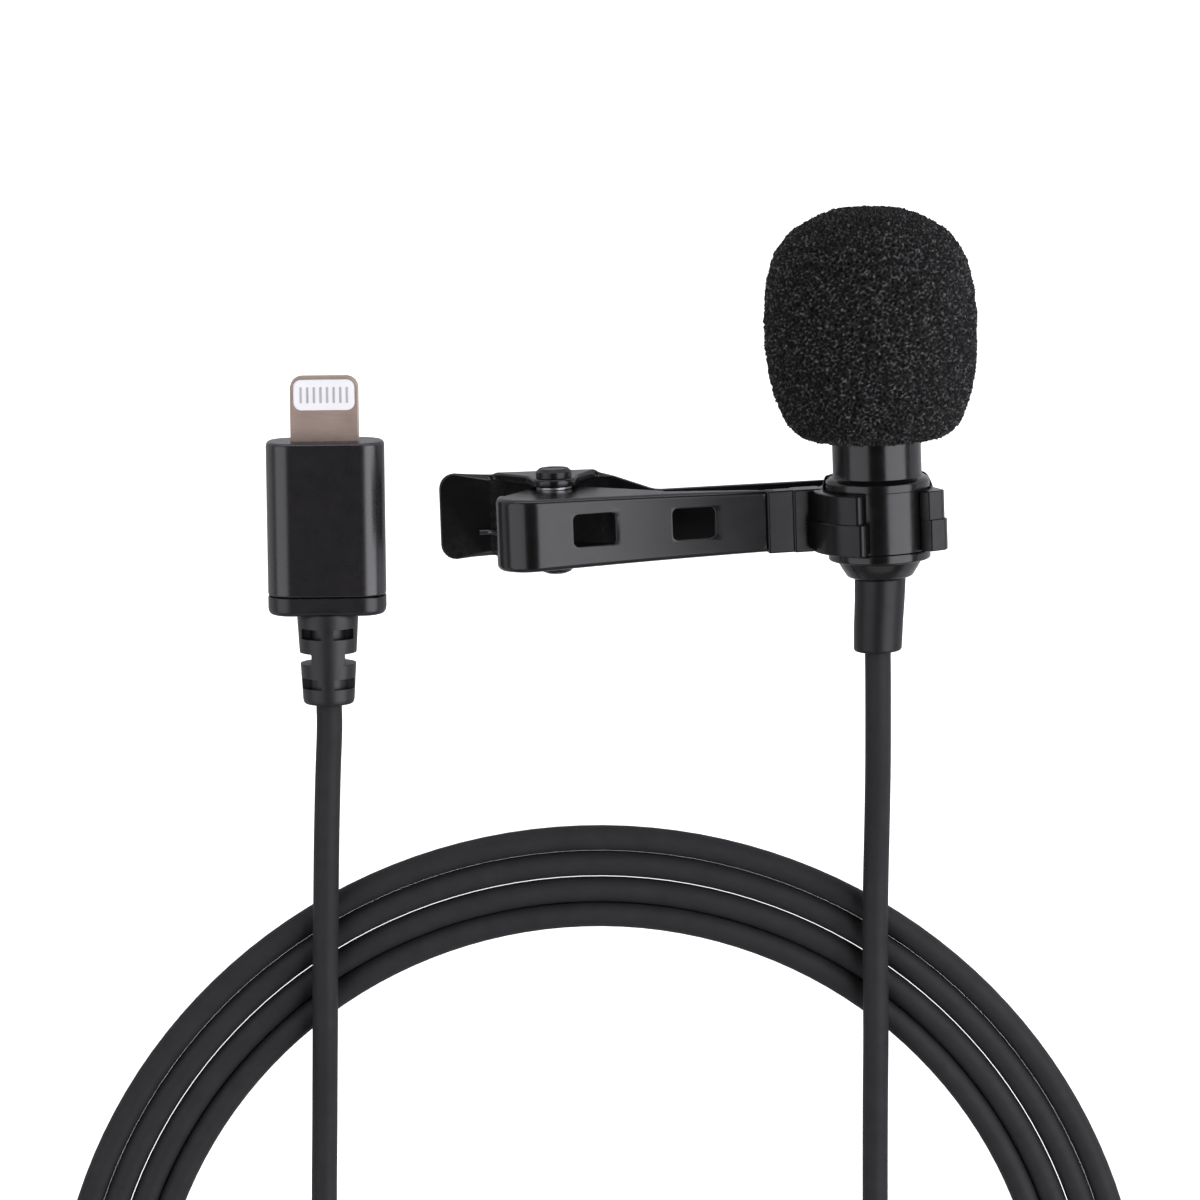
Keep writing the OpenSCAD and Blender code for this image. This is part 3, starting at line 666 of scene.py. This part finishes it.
def make_foam():
    pts = [Vector((r, v, 0)) for r, v in foam_outline()]
    dense = smooth(pts, 24)
    run = [0.0]
    for a, b in zip(dense, dense[1:]):
        run.append(run[-1] + (b - a).length)
    rows, segs = ((330, 560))
    at = np.linspace(0, run[-1], rows + 1)
    rr = np.interp(at, run, [p.x for p in dense])
    vv = np.interp(at, run, [p.y for p in dense])
    rr[0] = 0
    tr, tv = np.gradient(rr, at), np.gradient(vv, at)
    ln = np.hypot(tr, tv)
    nr, nv = -tv / ln, tr / ln                      # outward: right of the line as it runs down
    nr[0], nv[0] = 0, 1
    # cell centres, evenly spread over the surface and nudged
    rng = np.random.RandomState(7)
    area = np.concatenate([[0], np.cumsum(0.5 * (rr[1:] + rr[:-1]) * np.diff(at))]) * 2 * np.pi
    cells = int(area[-1] / 0.50 ** 2)
    s = (np.arange(cells) + 0.5) / cells * area[-1]
    where = np.interp(s, area, at) + rng.normal(0, 0.14, cells)
    turn = np.arange(cells) * 2.399963 + rng.normal(0, 0.14, cells) / np.maximum(np.interp(where, at, rr), 0.6)
    cr, cv = np.interp(where, at, rr), np.interp(where, at, vv)
    sunk = rng.normal(0, 0.08, cells)
    tree = KDTree(cells)
    for i in range(cells):
        tree.insert(((cr[i] - sunk[i]) * math.cos(turn[i]), cv[i], (cr[i] - sunk[i]) * math.sin(turn[i])), i)
    tree.balance()
    deep = rng.uniform(0.35, 1.0, cells)
    tuft = np.clip(rng.normal(0, 1, cells), -1.8, 1.8)
    rough = np.clip(rng.normal(0, 1, (rows + 1, segs)), -2, 2)
    # painted glints: sparse bright specks painted into the foam colour as painted highlights
    painted_glint = np.kron(rng.random((rows // 2 + 1, segs // 2)) ** 4, np.ones((2, 2)))
    bm = bmesh.new()
    layer = bm.verts.layers.float.new("strut_lit_pit_shaded")
    rings = []
    for k in range(rows + 1):
        ring = []
        for i in range(1 if k == 0 else segs):
            f = 2 * math.pi * (i + 0.5 * (k % 2)) / segs
            c, sn = math.cos(f), math.sin(f)
            (_, i1, d1), (_, _, d2) = tree.find_n((rr[k] * c, vv[k], rr[k] * sn), 2)
            e = d2 - d1
            strut_lit_pit_shaded = math.exp(-(e / 0.10) ** 2)
            h = 0.03 * strut_lit_pit_shaded - 0.20 * deep[i1] * (1 - strut_lit_pit_shaded) + 0.075 * tuft[i1] + 0.05 * rough[k, i]
            fade = min(1.0, (rows - k) / 6)
            h *= fade
            r, v = rr[k] + nr[k] * h, vv[k] + nv[k] * h
            lean = -(0.235 + 0.0085 * (v - 18.95)) * ease((v - 7.7) / 2.5)
            x, y, z = at_mic(r * c + lean, v, r * sn)
            w = bm.verts.new((x, y, max(z, 0.02)))          # flat where it rests on the table
            # colour mask for the foam: painted shade in the pits, painted highlight on the struts and the glints
            w[layer] = (0.25 + 0.75 * strut_lit_pit_shaded) * (0.15 + 0.85 * painted_glint[k, i])
            ring.append(w)
        rings.append(ring)
    # underside, bore and the bore's end
    for r, v in ((4.40, 7.70), (4.40, 12.5), (4.40, 17.4)):
        ring = []
        for i in range(segs):
            f = 2 * math.pi * i / segs
            w = bm.verts.new(at_mic(r * math.cos(f), v, r * math.sin(f)))
            w[layer] = 0.2
            ring.append(w)
        rings.append(ring)
    end = bm.verts.new(at_mic(0, 17.4, 0))
    end[layer] = 0.2
    rings.append([end])
    for k, (a, b) in enumerate(zip(rings, rings[1:])):
        stagger = k <= rows - 1 and k % 2 == 1
        for i in range(segs):
            j = (i + 1) % segs
            if len(a) == 1:
                bm.faces.new((a[0], b[j], b[i]))
            elif len(b) == 1:
                bm.faces.new((a[i], a[j], b[0]))
            else:
                bm.faces.new((a[i], a[j], b[j], b[i]))
    o = finish_mesh(bm, "foam_windscreen", "foam", "foam_cover", ["windscreen"], angle=180, weighted=False)
    return o


def make_barrel():
    prof = rounded([(3.70, -3.15), (4.90, -3.15, 0.06), (4.90, 2.80), (5.05, 2.86, 0.1), (5.05, 3.60, 0.28), (4.72, 3.86, 0.25), (4.36, 3.98, 0.2),
                    (4.32, 4.4, 0.3), (4.32, 14.40, 0.06), (3.70, 14.40), (3.70, 9.0), (3.30, 9.0), (3.30, -0.8), (3.70, -0.8)], 6)
    finish_mesh(lathe(prof), "barrel", "barrel", "microphone", ["mic_barrel"])
    prof = rounded([(2.55, -0.85), (3.68, -0.85), (3.68, -3.2), (4.90, -3.2, 0.1), (4.96, -3.42, 0.15), (4.96, -4.12, 0.22), (4.12, -4.17, 0.06), (4.08, -4.3, 0.3),
                    (3.72, -4.95, 0.8), (3.2, -5.78, 0.4), (2.8, -5.94, 0.12), (2.05, -5.94), (2.05, -4.62), (2.55, -4.62)], 6)
    finish_mesh(lathe(prof), "barrel_end_cap", "barrel", "microphone", ["end_cap"])
    prof = rounded([(1.30, -13.2), (2.34, -13.2, 0.3), (2.40, -10.6), (2.44, -8.2), (2.49, -6.0, 0.12), (2.02, -5.96), (2.02, -4.6), (2.5, -4.6), (2.5, -3.55), (1.30, -3.55), (1.30, -8.2), (1.30, -10.6)], 6)
    finish_mesh(lathe(prof, 112, lambda x, y, z: at_mic(x + sway(y), y, z)), "barrel_sleeve", "sleeve", "microphone", ["mic_sleeve"])


# ---- clip -----------------------------------------------------------------------------------------------
ARM_FACE, ARM_ROOT, BEND_U, BEND_R = -2.05, -7.0, -33.0, 3.4
PIVOT_A = PIVOT_X * math.cos(TILT) - PIVOT_Q * math.sin(TILT)
PIVOT_B = PIVOT_X * math.sin(TILT) + PIVOT_Q * math.cos(TILT)


def arm_half(u):
    return 2.8 + 0.5 * (-10.7 - max(u, -36.5)) / 25.8


def arm_line():
    """The front arm's outer face as (u, a, q, heading): slightly hollow along its length, then rolled back."""
    roll = BEND_R * rad(120)
    line, a, q, du = [], ARM_ROOT, ARM_FACE, 0.02
    u = ARM_ROOT
    while u > BEND_U - roll - 3:
        if u > BEND_U:
            th = rad(5 - 10 * (ARM_ROOT - u) / (ARM_ROOT - BEND_U))
        else:
            th = rad(min(115, -5 + 120 * (BEND_U - u) / roll))
        line.append((u, a, q, th))
        a -= math.cos(th) * du
        q -= math.sin(th) * du
        u -= du
    return line


ARM = arm_line()


def arm_at(u, y, w):
    i = (ARM_ROOT - u) / 0.02
    j = int(min(max(i, 0), len(ARM) - 2))
    f = i - j
    _, a0, q0, t0 = ARM[j]
    _, a1, q1, t1 = ARM[j + 1]
    a, q, th = a0 + (a1 - a0) * f, q0 + (q1 - q0) * f, t0 + (t1 - t0) * f
    return a - math.sin(th) * w, y, q + math.cos(th) * w


def make_front_arm():
    roll = BEND_R * rad(120)
    left = BEND_U - roll - 0.6
    def low(u):
        return arm_half(u) + 0.45 + 0.1 * min(1, (-10 - u) / 25)
    half = [(ARM_ROOT, 2.2), (-9.9, 2.2), (-9.92, arm_half(-9.92)), (BEND_U - 2, arm_half(BEND_U - 2)), (left, arm_half(left), 0.75)]
    lower = [(left, -low(left), 0.75), (BEND_U - 2, -low(BEND_U - 2)), (-9.92, -low(-9.92)), (-9.9, -2.2), (ARM_ROOT, -2.2)]
    outline = rounded(half + lower, 5)
    holes = [box_loop(c - 2.08, -1.55, c + 2.08, 1.55, 0.5) for c in (-27.6, -17.75)]
    holes.append(arc(-9, 0, 0.62, 0, 345, 23))
    bm = plate([outline] + holes, SHEET, [(0.55, 0.12), (0.14, 0.1), (0.14, 0.1), (0.03, 0.03)], 4)
    cut(bm, 0, [x for x in np.arange(left + 0.3, BEND_U + 0.2, 0.3)] + [x for x in np.arange(BEND_U + 1, ARM_ROOT - 0.5, 1.0)])
    bend(bm, lambda u, y, z: arm_at(u, y, z - SHEET / 2))
    # the side walls, which follow the strip and carry the pivot
    top = [arm_at(u, 0, -0.42) for u in list(np.arange(-11.1, BEND_U, -1.0)) + list(np.arange(BEND_U, BEND_U - BEND_R * rad(104), -0.35))]
    top = [(a, q) for a, _, q in top]
    end = top[-1]
    d = Vector((PIVOT_A - end[0], PIVOT_B - end[1]))
    lean = math.atan2(d.y, d.x) - math.asin(2.1 / d.length)
    first = math.degrees(lean) - 90
    d2 = Vector((PIVOT_A + 20.5, PIVOT_B + 5.2))
    back = math.atan2(d2.y, d2.x) + math.asin(2.1 / d2.length)
    last = math.degrees(back) + 90
    while last < first:
        last += 360
    loop = top + arc(PIVOT_A, PIVOT_B, 2.1, first, last, 28) + rounded([(-20.0, -5.5), (-20.5, -5.2, 2.5), (-11.1, -3.35, 0.3), (-11.1, -2.3)], 5)[1:-1]
    hole = arc(PIVOT_A, PIVOT_B, 0.92, 0, 348, 29)
    for s in (1, -1):
        ear = plate([loop, hole], 0.7, [(0.1, 0.1), (0.03, 0.03)], 3)
        cut(ear, 0, np.arange(-35, -11.5, 2.0))
        bend(ear, lambda a, q, z: (a, s * (arm_half(a) - 0.36 + z), q))
        bm = join(bm, ear)
    bend(bm, clip_at)
    finish_mesh(bm, "front_clip_arm", "arm", "clip", ["front_arm"], angle=28)


def make_holder():
    def ring(y0, y1, r_in, r_out, g0, g1, b):
        def at(r, t):
            return (r * math.cos(rad(t)), r * math.sin(rad(t)))
        k = r_out / 6.25
        near = [at(r_in, t) for t in np.linspace(g0 - 2.4, g1 - 357.6, 88)]
        thick = [at(r_out, t) for t in np.linspace(g1 - 354.6, -116, 40)]
        thin = [at(5.45, t) for t in np.linspace(-104, 8, 40)]
        lip = [(5.25 * k, 1.1 * k, 0.3), (5.8 * k, 3.45 * k, 0.3), (5.45 * k, 4.05 * k, 0.3), (4.0 * k, 4.6 * k, 0.3)]
        out = rounded([(*at(r_in, g0), 0.16)] + near + [(*at(r_in, g1 - 360), 0.16), (*at(r_out, g1 - 360), 0.5)] + thick + thin + lip, 5)
        bm = plate([out], y1 - y0, [(b, b)], 3)
        m = (y0 + y1) / 2
        bend(bm, lambda x, z, w: (x, m - w, z))
        return bm

    def block(a0, q0, a1, q1, y0, y1, r, b):
        bm = plate([box_loop(a0, q0, a1, q1, r)], y1 - y0, [(b, b)], 3)
        bend(bm, lambda x, z, w: (x, (y0 + y1) / 2 - w, z))
        return bm

    def back_wall():
        """The thin wall behind the barrel, rising past the collar."""
        rows = []
        for t in np.linspace(11, -165, 67):
            top = 2.62 + 1.25 * ease((10.5 - t) / 32) * ease((t + 165) / 20)
            sec = [(5.13, 2.3), (5.44, 2.3), (5.44, top - 0.1), (5.41, top - 0.03), (5.35, top), (5.22, top), (5.16, top - 0.03), (5.13, top - 0.1)]
            rows.append([(r * math.cos(rad(t)), y, r * math.sin(rad(t))) for r, y in sec])
        return loft(rows, clip_at)

    upper = ring(-0.12, 2.75, 4.95, 6.25, 49.5, 118.5, 0.14)
    lower = ring(-3.1, 0.0, 4.97, 6.47, 49.3, 115.3, 0.14)
    one = block(-10.6, -3.35, -7.7, -1.72, -3.3, 2.8, 0.22, 0.16)
    two = block(-8.1, -3.7, -5.15, -1.42, -3.32, 2.82, 0.24, 0.18)
    bend(upper, clip_at)
    bend(lower, clip_at)
    bend(one, clip_at)
    bend(two, clip_at)
    pad = plate([rounded([(-4.4, -6.5, 0.2), (3.8, -6.5, 0.2), (5.0, -4.6), (3.2, -4.0), (0, -5.15), (-3.2, -4.0), (-5.4, -4.4)], 4)], 5.3, [(0.15, 0.15)], 2)
    bend(pad, lambda x, z, w: at_mic(x, -w, z))
    slot = plate([box_loop(-11.2, -2.87, -6.98, -2.03, 0.02, 1)], 4.44, [(0.01, 0.01)], 1)
    bend(slot, lambda x, z, w: clip_at(x, -w, z))
    mouth = plate([box_loop(-11.2, -2.87, -9.88, -2.03, 0.02, 1)], 8, [(0.01, 0.01)], 1)
    bend(mouth, lambda x, z, w: clip_at(x, -w, z))
    grooves = []
    for x in (-3, -1.5, 0, 1.5, 3):
        g = plate([[(x - 0.3, -6.8), (x + 0.3, -6.8), (x + 0.02, -6.22), (x - 0.02, -6.22)]], 8, [(0.001, 0.001)], 1)
        bend(g, lambda x, z, w: at_mic(x, -w, z))
        grooves.append(g)
    bm = boolean(upper, [lower, two, one, pad, back_wall()], "UNION")
    bm = boolean(bm, [slot, mouth] + grooves, "DIFFERENCE")
    finish_mesh(bm, "barrel_holder", "holder", "clip", ["mic_holder"], angle=30, weld=1e-4)


def rear_line(x):
    """Height of the rear arm's underside: flat tab, then a slow rise to the jaw."""
    pts = [(-42.75, 0), (-27.2, 0), (-25, 0.03), (-22.8, 0.25), (-8.2, 1.94), (-6, 2.17), (-3.8, 2.25), (5.6, 2.45)]
    for (x0, z0), (x1, z1) in zip(pts, pts[1:]):
        if x <= x1:
            return z0 + (z1 - z0) * (x - x0) / (x1 - x0)
    return pts[-1][1]


def make_rear_arm():
    rb = 0.75                                        # outside radius of the folded walls
    flat = 4.25 - rb + rb * math.pi / 2             # v at which a wall stands straight
    def wall_v(z):
        return flat + (z - rb)
    foot0, foot1 = -37.4, -28.6
    boss = 2.2
    left = [(foot0, 4.25), (foot0 + 0.5, wall_v(1.2)), (PIVOT_X - boss - 0.3, wall_v(PIVOT_Z - 1.2))]
    cap = [(PIVOT_X + boss * math.cos(rad(t)), wall_v(PIVOT_Z) + boss * math.sin(rad(t))) for t in range(165, 14, -10)]
    right = [(PIVOT_X + boss + 0.2, wall_v(PIVOT_Z - 1.2)), (foot1 + 0.9, wall_v(1.3)), (foot1 + 1.6, 4.0)]
    half = [(-42.75, 4.25, 1.5), (foot0 - 0.5, 4.25, 0.4)] + [(left[0][0], left[0][1], 0.3), (*left[1], 1.0), (*left[2], 1.2)] + [(*p, 0) for p in cap] \
        + [(*right[0], 1.0), (*right[1], 0.8), (*right[2], 0.8), (-21.5, 2.05, 3.0), (0, 2.85, 3.0), (5.6, 3.1, 1.8)]
    other = [(x, -y, r) for x, y, r in half[::-1]]
    waist = other.index((-21.5, -2.05, 3.0))
    other[waist] = (-16.0, -3.25, 3.0)               # the lower side keeps its width further along
    outline = rounded(half + other, 6)
    holes = [arc(PIVOT_X, s * wall_v(PIVOT_Z), 0.95, 0, 348, 29) for s in (1, -1)]
    bm = plate([outline] + holes, SHEET, [(0.16, 0.26), (0.03, 0.03), (0.03, 0.03)], 4)
    teeth = [-3.2, -1.6, 0, 1.6, 3.2]
    cut(bm, 0, [-27.2, -26, -25, -24, -22.8, -15, -8.2, -7.4, -6.6, -6, -5.2, -4.4, -3.8] + [t + d for t in teeth for d in (-0.55, 0, 0.55)])
    bend_v = [4.25 - rb + rb * rad(a) for a in range(0, 91, 10)]
    cut(bm, 1, bend_v + [-v for v in bend_v])

    def to(u, v, w):
        w += SHEET / 2                               # 0 on the outer, lower face
        s, av = (1 if v >= 0 else -1), abs(v)
        lift = 0.0
        if w > SHEET - 0.01 and av < 2.9:
            for t in teeth:
                lift = max(lift, 0.42 * (1 - abs(u - t) / 0.55))
        base = rear_line(u)
        if av <= 4.25 - rb or not (foot0 - 3 < u < foot1 + 3):
            return on_table(u, v, base + w + lift)
        f = min((av - (4.25 - rb)) / rb, math.pi / 2)
        y = 4.25 - rb + (rb - w) * math.sin(f)
        z = rb - (rb - w) * math.cos(f)
        extra = av - (4.25 - rb) - rb * math.pi / 2
        if extra > 0:
            z += extra
        return on_table(u, s * y, base + z)
    bend(bm, to)
    finish_mesh(bm, "rear_clip_arm", "arm", "rear_jaw", ["rear_arm"], angle=28)


def make_spring():
    y0 = 1.6
    line = [(PIVOT_X - 3.42, y0, PIVOT_Q + 6.78)]
    a0, a1 = 195.4, 134.6 + 1800
    for i in range(157):
        a = rad(a0 + (a1 - a0) * i / 156)
        line.append((PIVOT_X + 1.5 * math.cos(a), y0 - 2 * y0 * i / 156, PIVOT_Q + 1.5 * math.sin(a)))
    z = SHEET + 0.295 - AZ
    line += [(PIVOT_X - 5.95, -y0, PIVOT_Q - 3.77), (PIVOT_X - 6.3, -y0, z + 0.06), (PIVOT_X - 6.75, -y0, z), (PIVOT_X - 7.5, -y0, z)]
    bm = tube(line, 0.275, 12, (0, 1, 0), at_mic)
    o = finish_mesh(bm, "clip_spring", "spring", None, ["torsion_spring"], angle=60)
    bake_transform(o)


# ---- plug ---------------------------------------------------------------------------------------------
def section(w, t, r, y, n=8):
    return [(x, y, z) for x, z in box_loop(-w, -t, w, t, r, n)]


def make_plug():
    w, t = 5.8, 2.8
    skin = []
    for d, y in [(0.42, 0.0), (0.26, -0.03), (0.12, -0.12), (0.03, -0.26), (0.0, -0.42), (0.0, -5), (0.0, -10), (0.0, -14.96), (0.03, -15.08), (0.12, -15.17), (0.22, -15.2)]:
        skin.append(section(w - d, t - d, 2.4 - d, y))
    for y in (-15.2, -8, -0.9):
        skin.append(section(w - 0.65, t - 0.65, 1.75, y))
    shell = finish_mesh(loft(skin, plug_at), "plug_body", "shell", "microphone", ["plug_shell"], angle=40)
    skin = [section(w - 0.68, t - 0.68, 1.70, -14.2), section(w - 0.68, t - 0.68, 1.70, -15.26)]
    for d, y in [(0.16, -15.26), (0.06, -15.29), (0.0, -15.40), (0.0, -16.45), (0.04, -16.7), (0.14, -16.9), (0.3, -17.04), (0.5, -17.1)]:
        skin.append(section(w - d, t - d, 2.4 - d, y))
    cap = finish_mesh(loft(skin, plug_at), "plug_foot", "cap", "microphone", ["plug_end_cap"], angle=40)

    prof = rounded([(1.30, -26.1), (2.20, -26.1, 0.28), (2.31, -25.6, 0.2), (2.74, -17.4), (2.62, -17.06), (1.60, -17.06), (1.60, -14.3), (1.30, -14.3)], 5)
    body = lathe(prof, 96, lambda x, y, z: plug_at(x * (1.1 if math.hypot(x, z) > 1.7 else 1), y, z))
    tools = []
    for y in (-19.5, -24.5):
        for x0, x1 in ((-2.55, -0.58), (0.58, 2.55)):
            for z in (2.3, -2.3):
                g = plate([box_loop(x0, y, x1, y + 1.05, 0.12, 3)], 3.4, [(0.001, 0.001)], 1)
                bend(g, lambda x, yy, zz: plug_at(x, yy, z + zz))
                tools.append(g)
    for x0, x1 in ((1.6, 4.6), (-4.6, -1.6)):
        g = plate([box_loop(x0, -22.05, x1, -20.95, 0.12, 3)], 8, [(0.001, 0.001)], 1)
        bend(g, plug_at)
        tools.append(g)
    bm = boolean(body, tools, "DIFFERENCE")
    core = lathe([(1.34, -25.4), (1.84, -25.4), (1.84, -22.3), (1.52, -22.3), (1.52, -20.7), (1.84, -20.7), (1.84, -17.5), (1.34, -17.5)], 64, plug_at)      # the round core that shows in the slots
    bm = boolean(bm, [core], "UNION")
    relief = finish_mesh(bm, "plug_strain_relief", "relief", "microphone", ["plug_sleeve"], angle=32, weld=1e-4)

    half = [(3.35, -3.0), (3.35, 6.36, 1.2)]
    outline = rounded(half + [(-x, y, *r) for x, y, *r in half[::-1]], 7)
    window = box_loop(-3.03, 3.02, 3.03, 6.12, 0.8, 7)
    bm = plate([outline, window], 1.5, [(0.12, 0.12), (0.04, 0.04)], 4)
    bend(bm, plug_at)
    tongue = finish_mesh(bm, "plug_tongue_plate", "tongue", "microphone", ["tongue_frame"])
    bm = plate([box_loop(-3.01, 3.04, 3.01, 6.1, 0.78, 7)], 1.42, [(0.06, 0.06)], 3)
    bend(bm, plug_at)
    carrier = finish_mesh(bm, "plug_pin_carrier", "carrier", "microphone", ["contact_carrier"])
    pins = None
    for i in range(8):
        for s in (1, -1):
            x = 0.645 * (i - 3.5)
            bm = plate([box_loop(x - 0.125, 3.76, x + 0.125, 5.36, 0.1, 3)], 0.16, [(0.03, 0.03)], 2)
            bend(bm, lambda a, b, c: plug_at(a, b, s * 0.665 + c))
            pins = bm if pins is None else join(pins, bm)
    pins = finish_mesh(pins, "plug_pins", "pins", "microphone", ["contacts"])
    return [shell, cap, relief, tongue, carrier, pins]


# ---- strap on the coil ---------------------------------------------------------------------------------
def make_strap():
    m = (COIL_IN + COIL_OUT) / 2
    w = (COIL_OUT - COIL_IN) / 2 + 0.3
    ca, sa = math.cos(rad(200)), math.sin(rad(200))

    def place(x, y, z):
        r = m + x
        return (COIL[0] + r * ca - y * sa, COIL[1] + r * sa + y * ca, z)

    outer = box_loop(-w - 0.6, 0.0, w + 0.6, CABLE_D + 1.25, 0.9, 6)
    inner = box_loop(-w, 0.6, w, CABLE_D + 0.65, 0.5, 6)
    band = plate([outer, inner], 8, [(0.2, 0.2), (0.15, 0.15)], 3)
    bend(band, lambda x, z, y: place(x, -y, z))
    # the free end of the strap, lapped over the band
    tail = box_loop(-2.6, CABLE_D + 1.12, w - 0.5, CABLE_D + 1.72, 0.22, 4)
    lap = plate([tail], 7.6, [(0.12, 0.12)], 2)
    bend(lap, lambda x, z, y: place(x, -y, z))
    bm = boolean(band, [lap], "UNION")
    return finish_mesh(bm, "coil_tie", "strap", "microphone", ["coil_strap"], angle=35, weld=1e-4)


make_foam()
make_barrel()
make_front_arm()
make_holder()
make_rear_arm()
make_spring()
plug_pieces = make_plug()
strap = make_strap()

# ---- CAD pieces that keep their own shape ----------------------------------------------------------------
for node, material in {
    "head_grille": "barrel", "grille_cloth": "cloth", "capsule_can": "can", "capsule_board": "board", "transistor": "chip",
    "plate_holder": "carrier", "back_plate": "gold", "diaphragm": "gold", "capsule_boot": "boot", "signal_wires": "wire",
    "cable_ferrule": "can", "holder_screw": "steel", "pivot_washers": "steel", "pivot_screw": "screw", "pivot_nut": "screw",
    "plug_board": "board", "board_chips": "chip", "plug_wires": "wire",
}.items():
    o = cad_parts[node]
    o.data.materials.clear()
    o.data.materials.append(M[material])

# ---- floor, light ---------------------------------------------------------------------------------------
def make_floor():
    me = bpy.data.meshes.new("floor")
    s, z = 2.5, -0.0125             # low enough that it doesn't hide the jaw when that opens
    me.from_pydata([(-s, -s, z), (s, -s, z), (s, s, z), (-s, s, z)], [], [(0, 1, 2, 3)])
    o = bpy.data.objects.new("floor", me)
    scene.collection.objects.link(o)
    n = Nodes("floor_pale")
    n.set(Base_Color=n.ramp(n.noise(3, 2), [(0.3, grey(0.58)), (0.7, grey(0.60))]), Roughness=0.9, Specular_IOR_Level=0.1)
    n.bsdf.inputs["Emission Color"].default_value = (1, 1, 1, 1)
    n.link(n.span(n.new("ShaderNodeLightPath").outputs["Is Camera Ray"], 0.05, 0.95, 0, 1), n.bsdf.inputs["Emission Strength"])
    me.materials.append(n.mat)


def softbox(name, place, aim, wide, tall, radiance):
    """A rectangular light; wide runs level and tall runs up its face."""
    data = bpy.data.lights.new(name, "AREA")
    data.shape = "RECTANGLE"
    data.size, data.size_y = wide, tall
    data.color = (1.0, 0.985, 1.05)
    data.energy = radiance * 4 * wide * tall
    o = bpy.data.objects.new(name, data)
    scene.collection.objects.link(o)
    o.location = place
    o.rotation_euler = (Vector(aim) - Vector(place)).to_track_quat("-Z", "Y").to_euler()
    o.visible_camera = False


def make_world():
    w = bpy.data.worlds.new("studio")
    scene.world = w
    w.use_nodes = True
    t = w.node_tree
    bg = t.nodes["Background"]
    co = t.nodes.new("ShaderNodeTexCoord")
    sep = t.nodes.new("ShaderNodeSeparateXYZ")
    ramp = t.nodes.new("ShaderNodeValToRGB")
    t.links.new(co.outputs["Generated"], sep.inputs[0])
    t.links.new(sep.outputs["Z"], ramp.inputs["Fac"])
    el = ramp.color_ramp.elements
    stops = [(0.0, 0.30), (0.3, 0.12), (0.6, 0.05), (0.95, 0.03)]
    while len(el) < len(stops):
        el.new(0.5)
    for e, (p, v) in zip(el, stops):
        e.position = p
        e.color = (v, v, v, 1)
    t.links.new(ramp.outputs["Color"], bg.inputs["Color"])
    bg.inputs["Strength"].default_value = 1.0
    seen = t.nodes.new("ShaderNodeBackground")
    seen.inputs["Color"].default_value = (0.93, 0.93, 0.93, 1)
    ray = t.nodes.new("ShaderNodeLightPath")
    mix = t.nodes.new("ShaderNodeMixShader")
    t.links.new(ray.outputs["Is Camera Ray"], mix.inputs[0])
    t.links.new(bg.outputs[0], mix.inputs[1])
    t.links.new(seen.outputs[0], mix.inputs[2])
    t.links.new(mix.outputs[0], t.nodes["World Output"].inputs["Surface"])


make_floor()
make_world()
AIM = (-0.005, -0.01, 0.005)


def side_light(name, inner, outer, long, radiance, dist=0.55):
    """A tall soft panel beside the camera, from one angle off the vertical to another; right is positive."""
    mid, half = rad((inner + outer) / 2), rad(abs(outer - inner) / 2)
    place = (AIM[0] + dist * math.sin(mid), AIM[1], AIM[2] + dist * math.cos(mid))
    softbox(name, place, AIM, long, 2 * dist * math.tan(half), radiance)


side_light("key_right", 21.5, 76, 0.90, 2.5)
side_light("fill_left", -22, -76, 0.90, 1.15)
softbox("back_strip", (-0.02, 0.55, 0.10), AIM, 0.80, 0.10, 3.0)
softbox("front_fill", (0.0, -0.60, 0.30), (0, -0.06, 0), 0.70, 0.20, 0.5)

scene.view_settings.view_transform = "Standard"
scene.view_settings.look = "None"
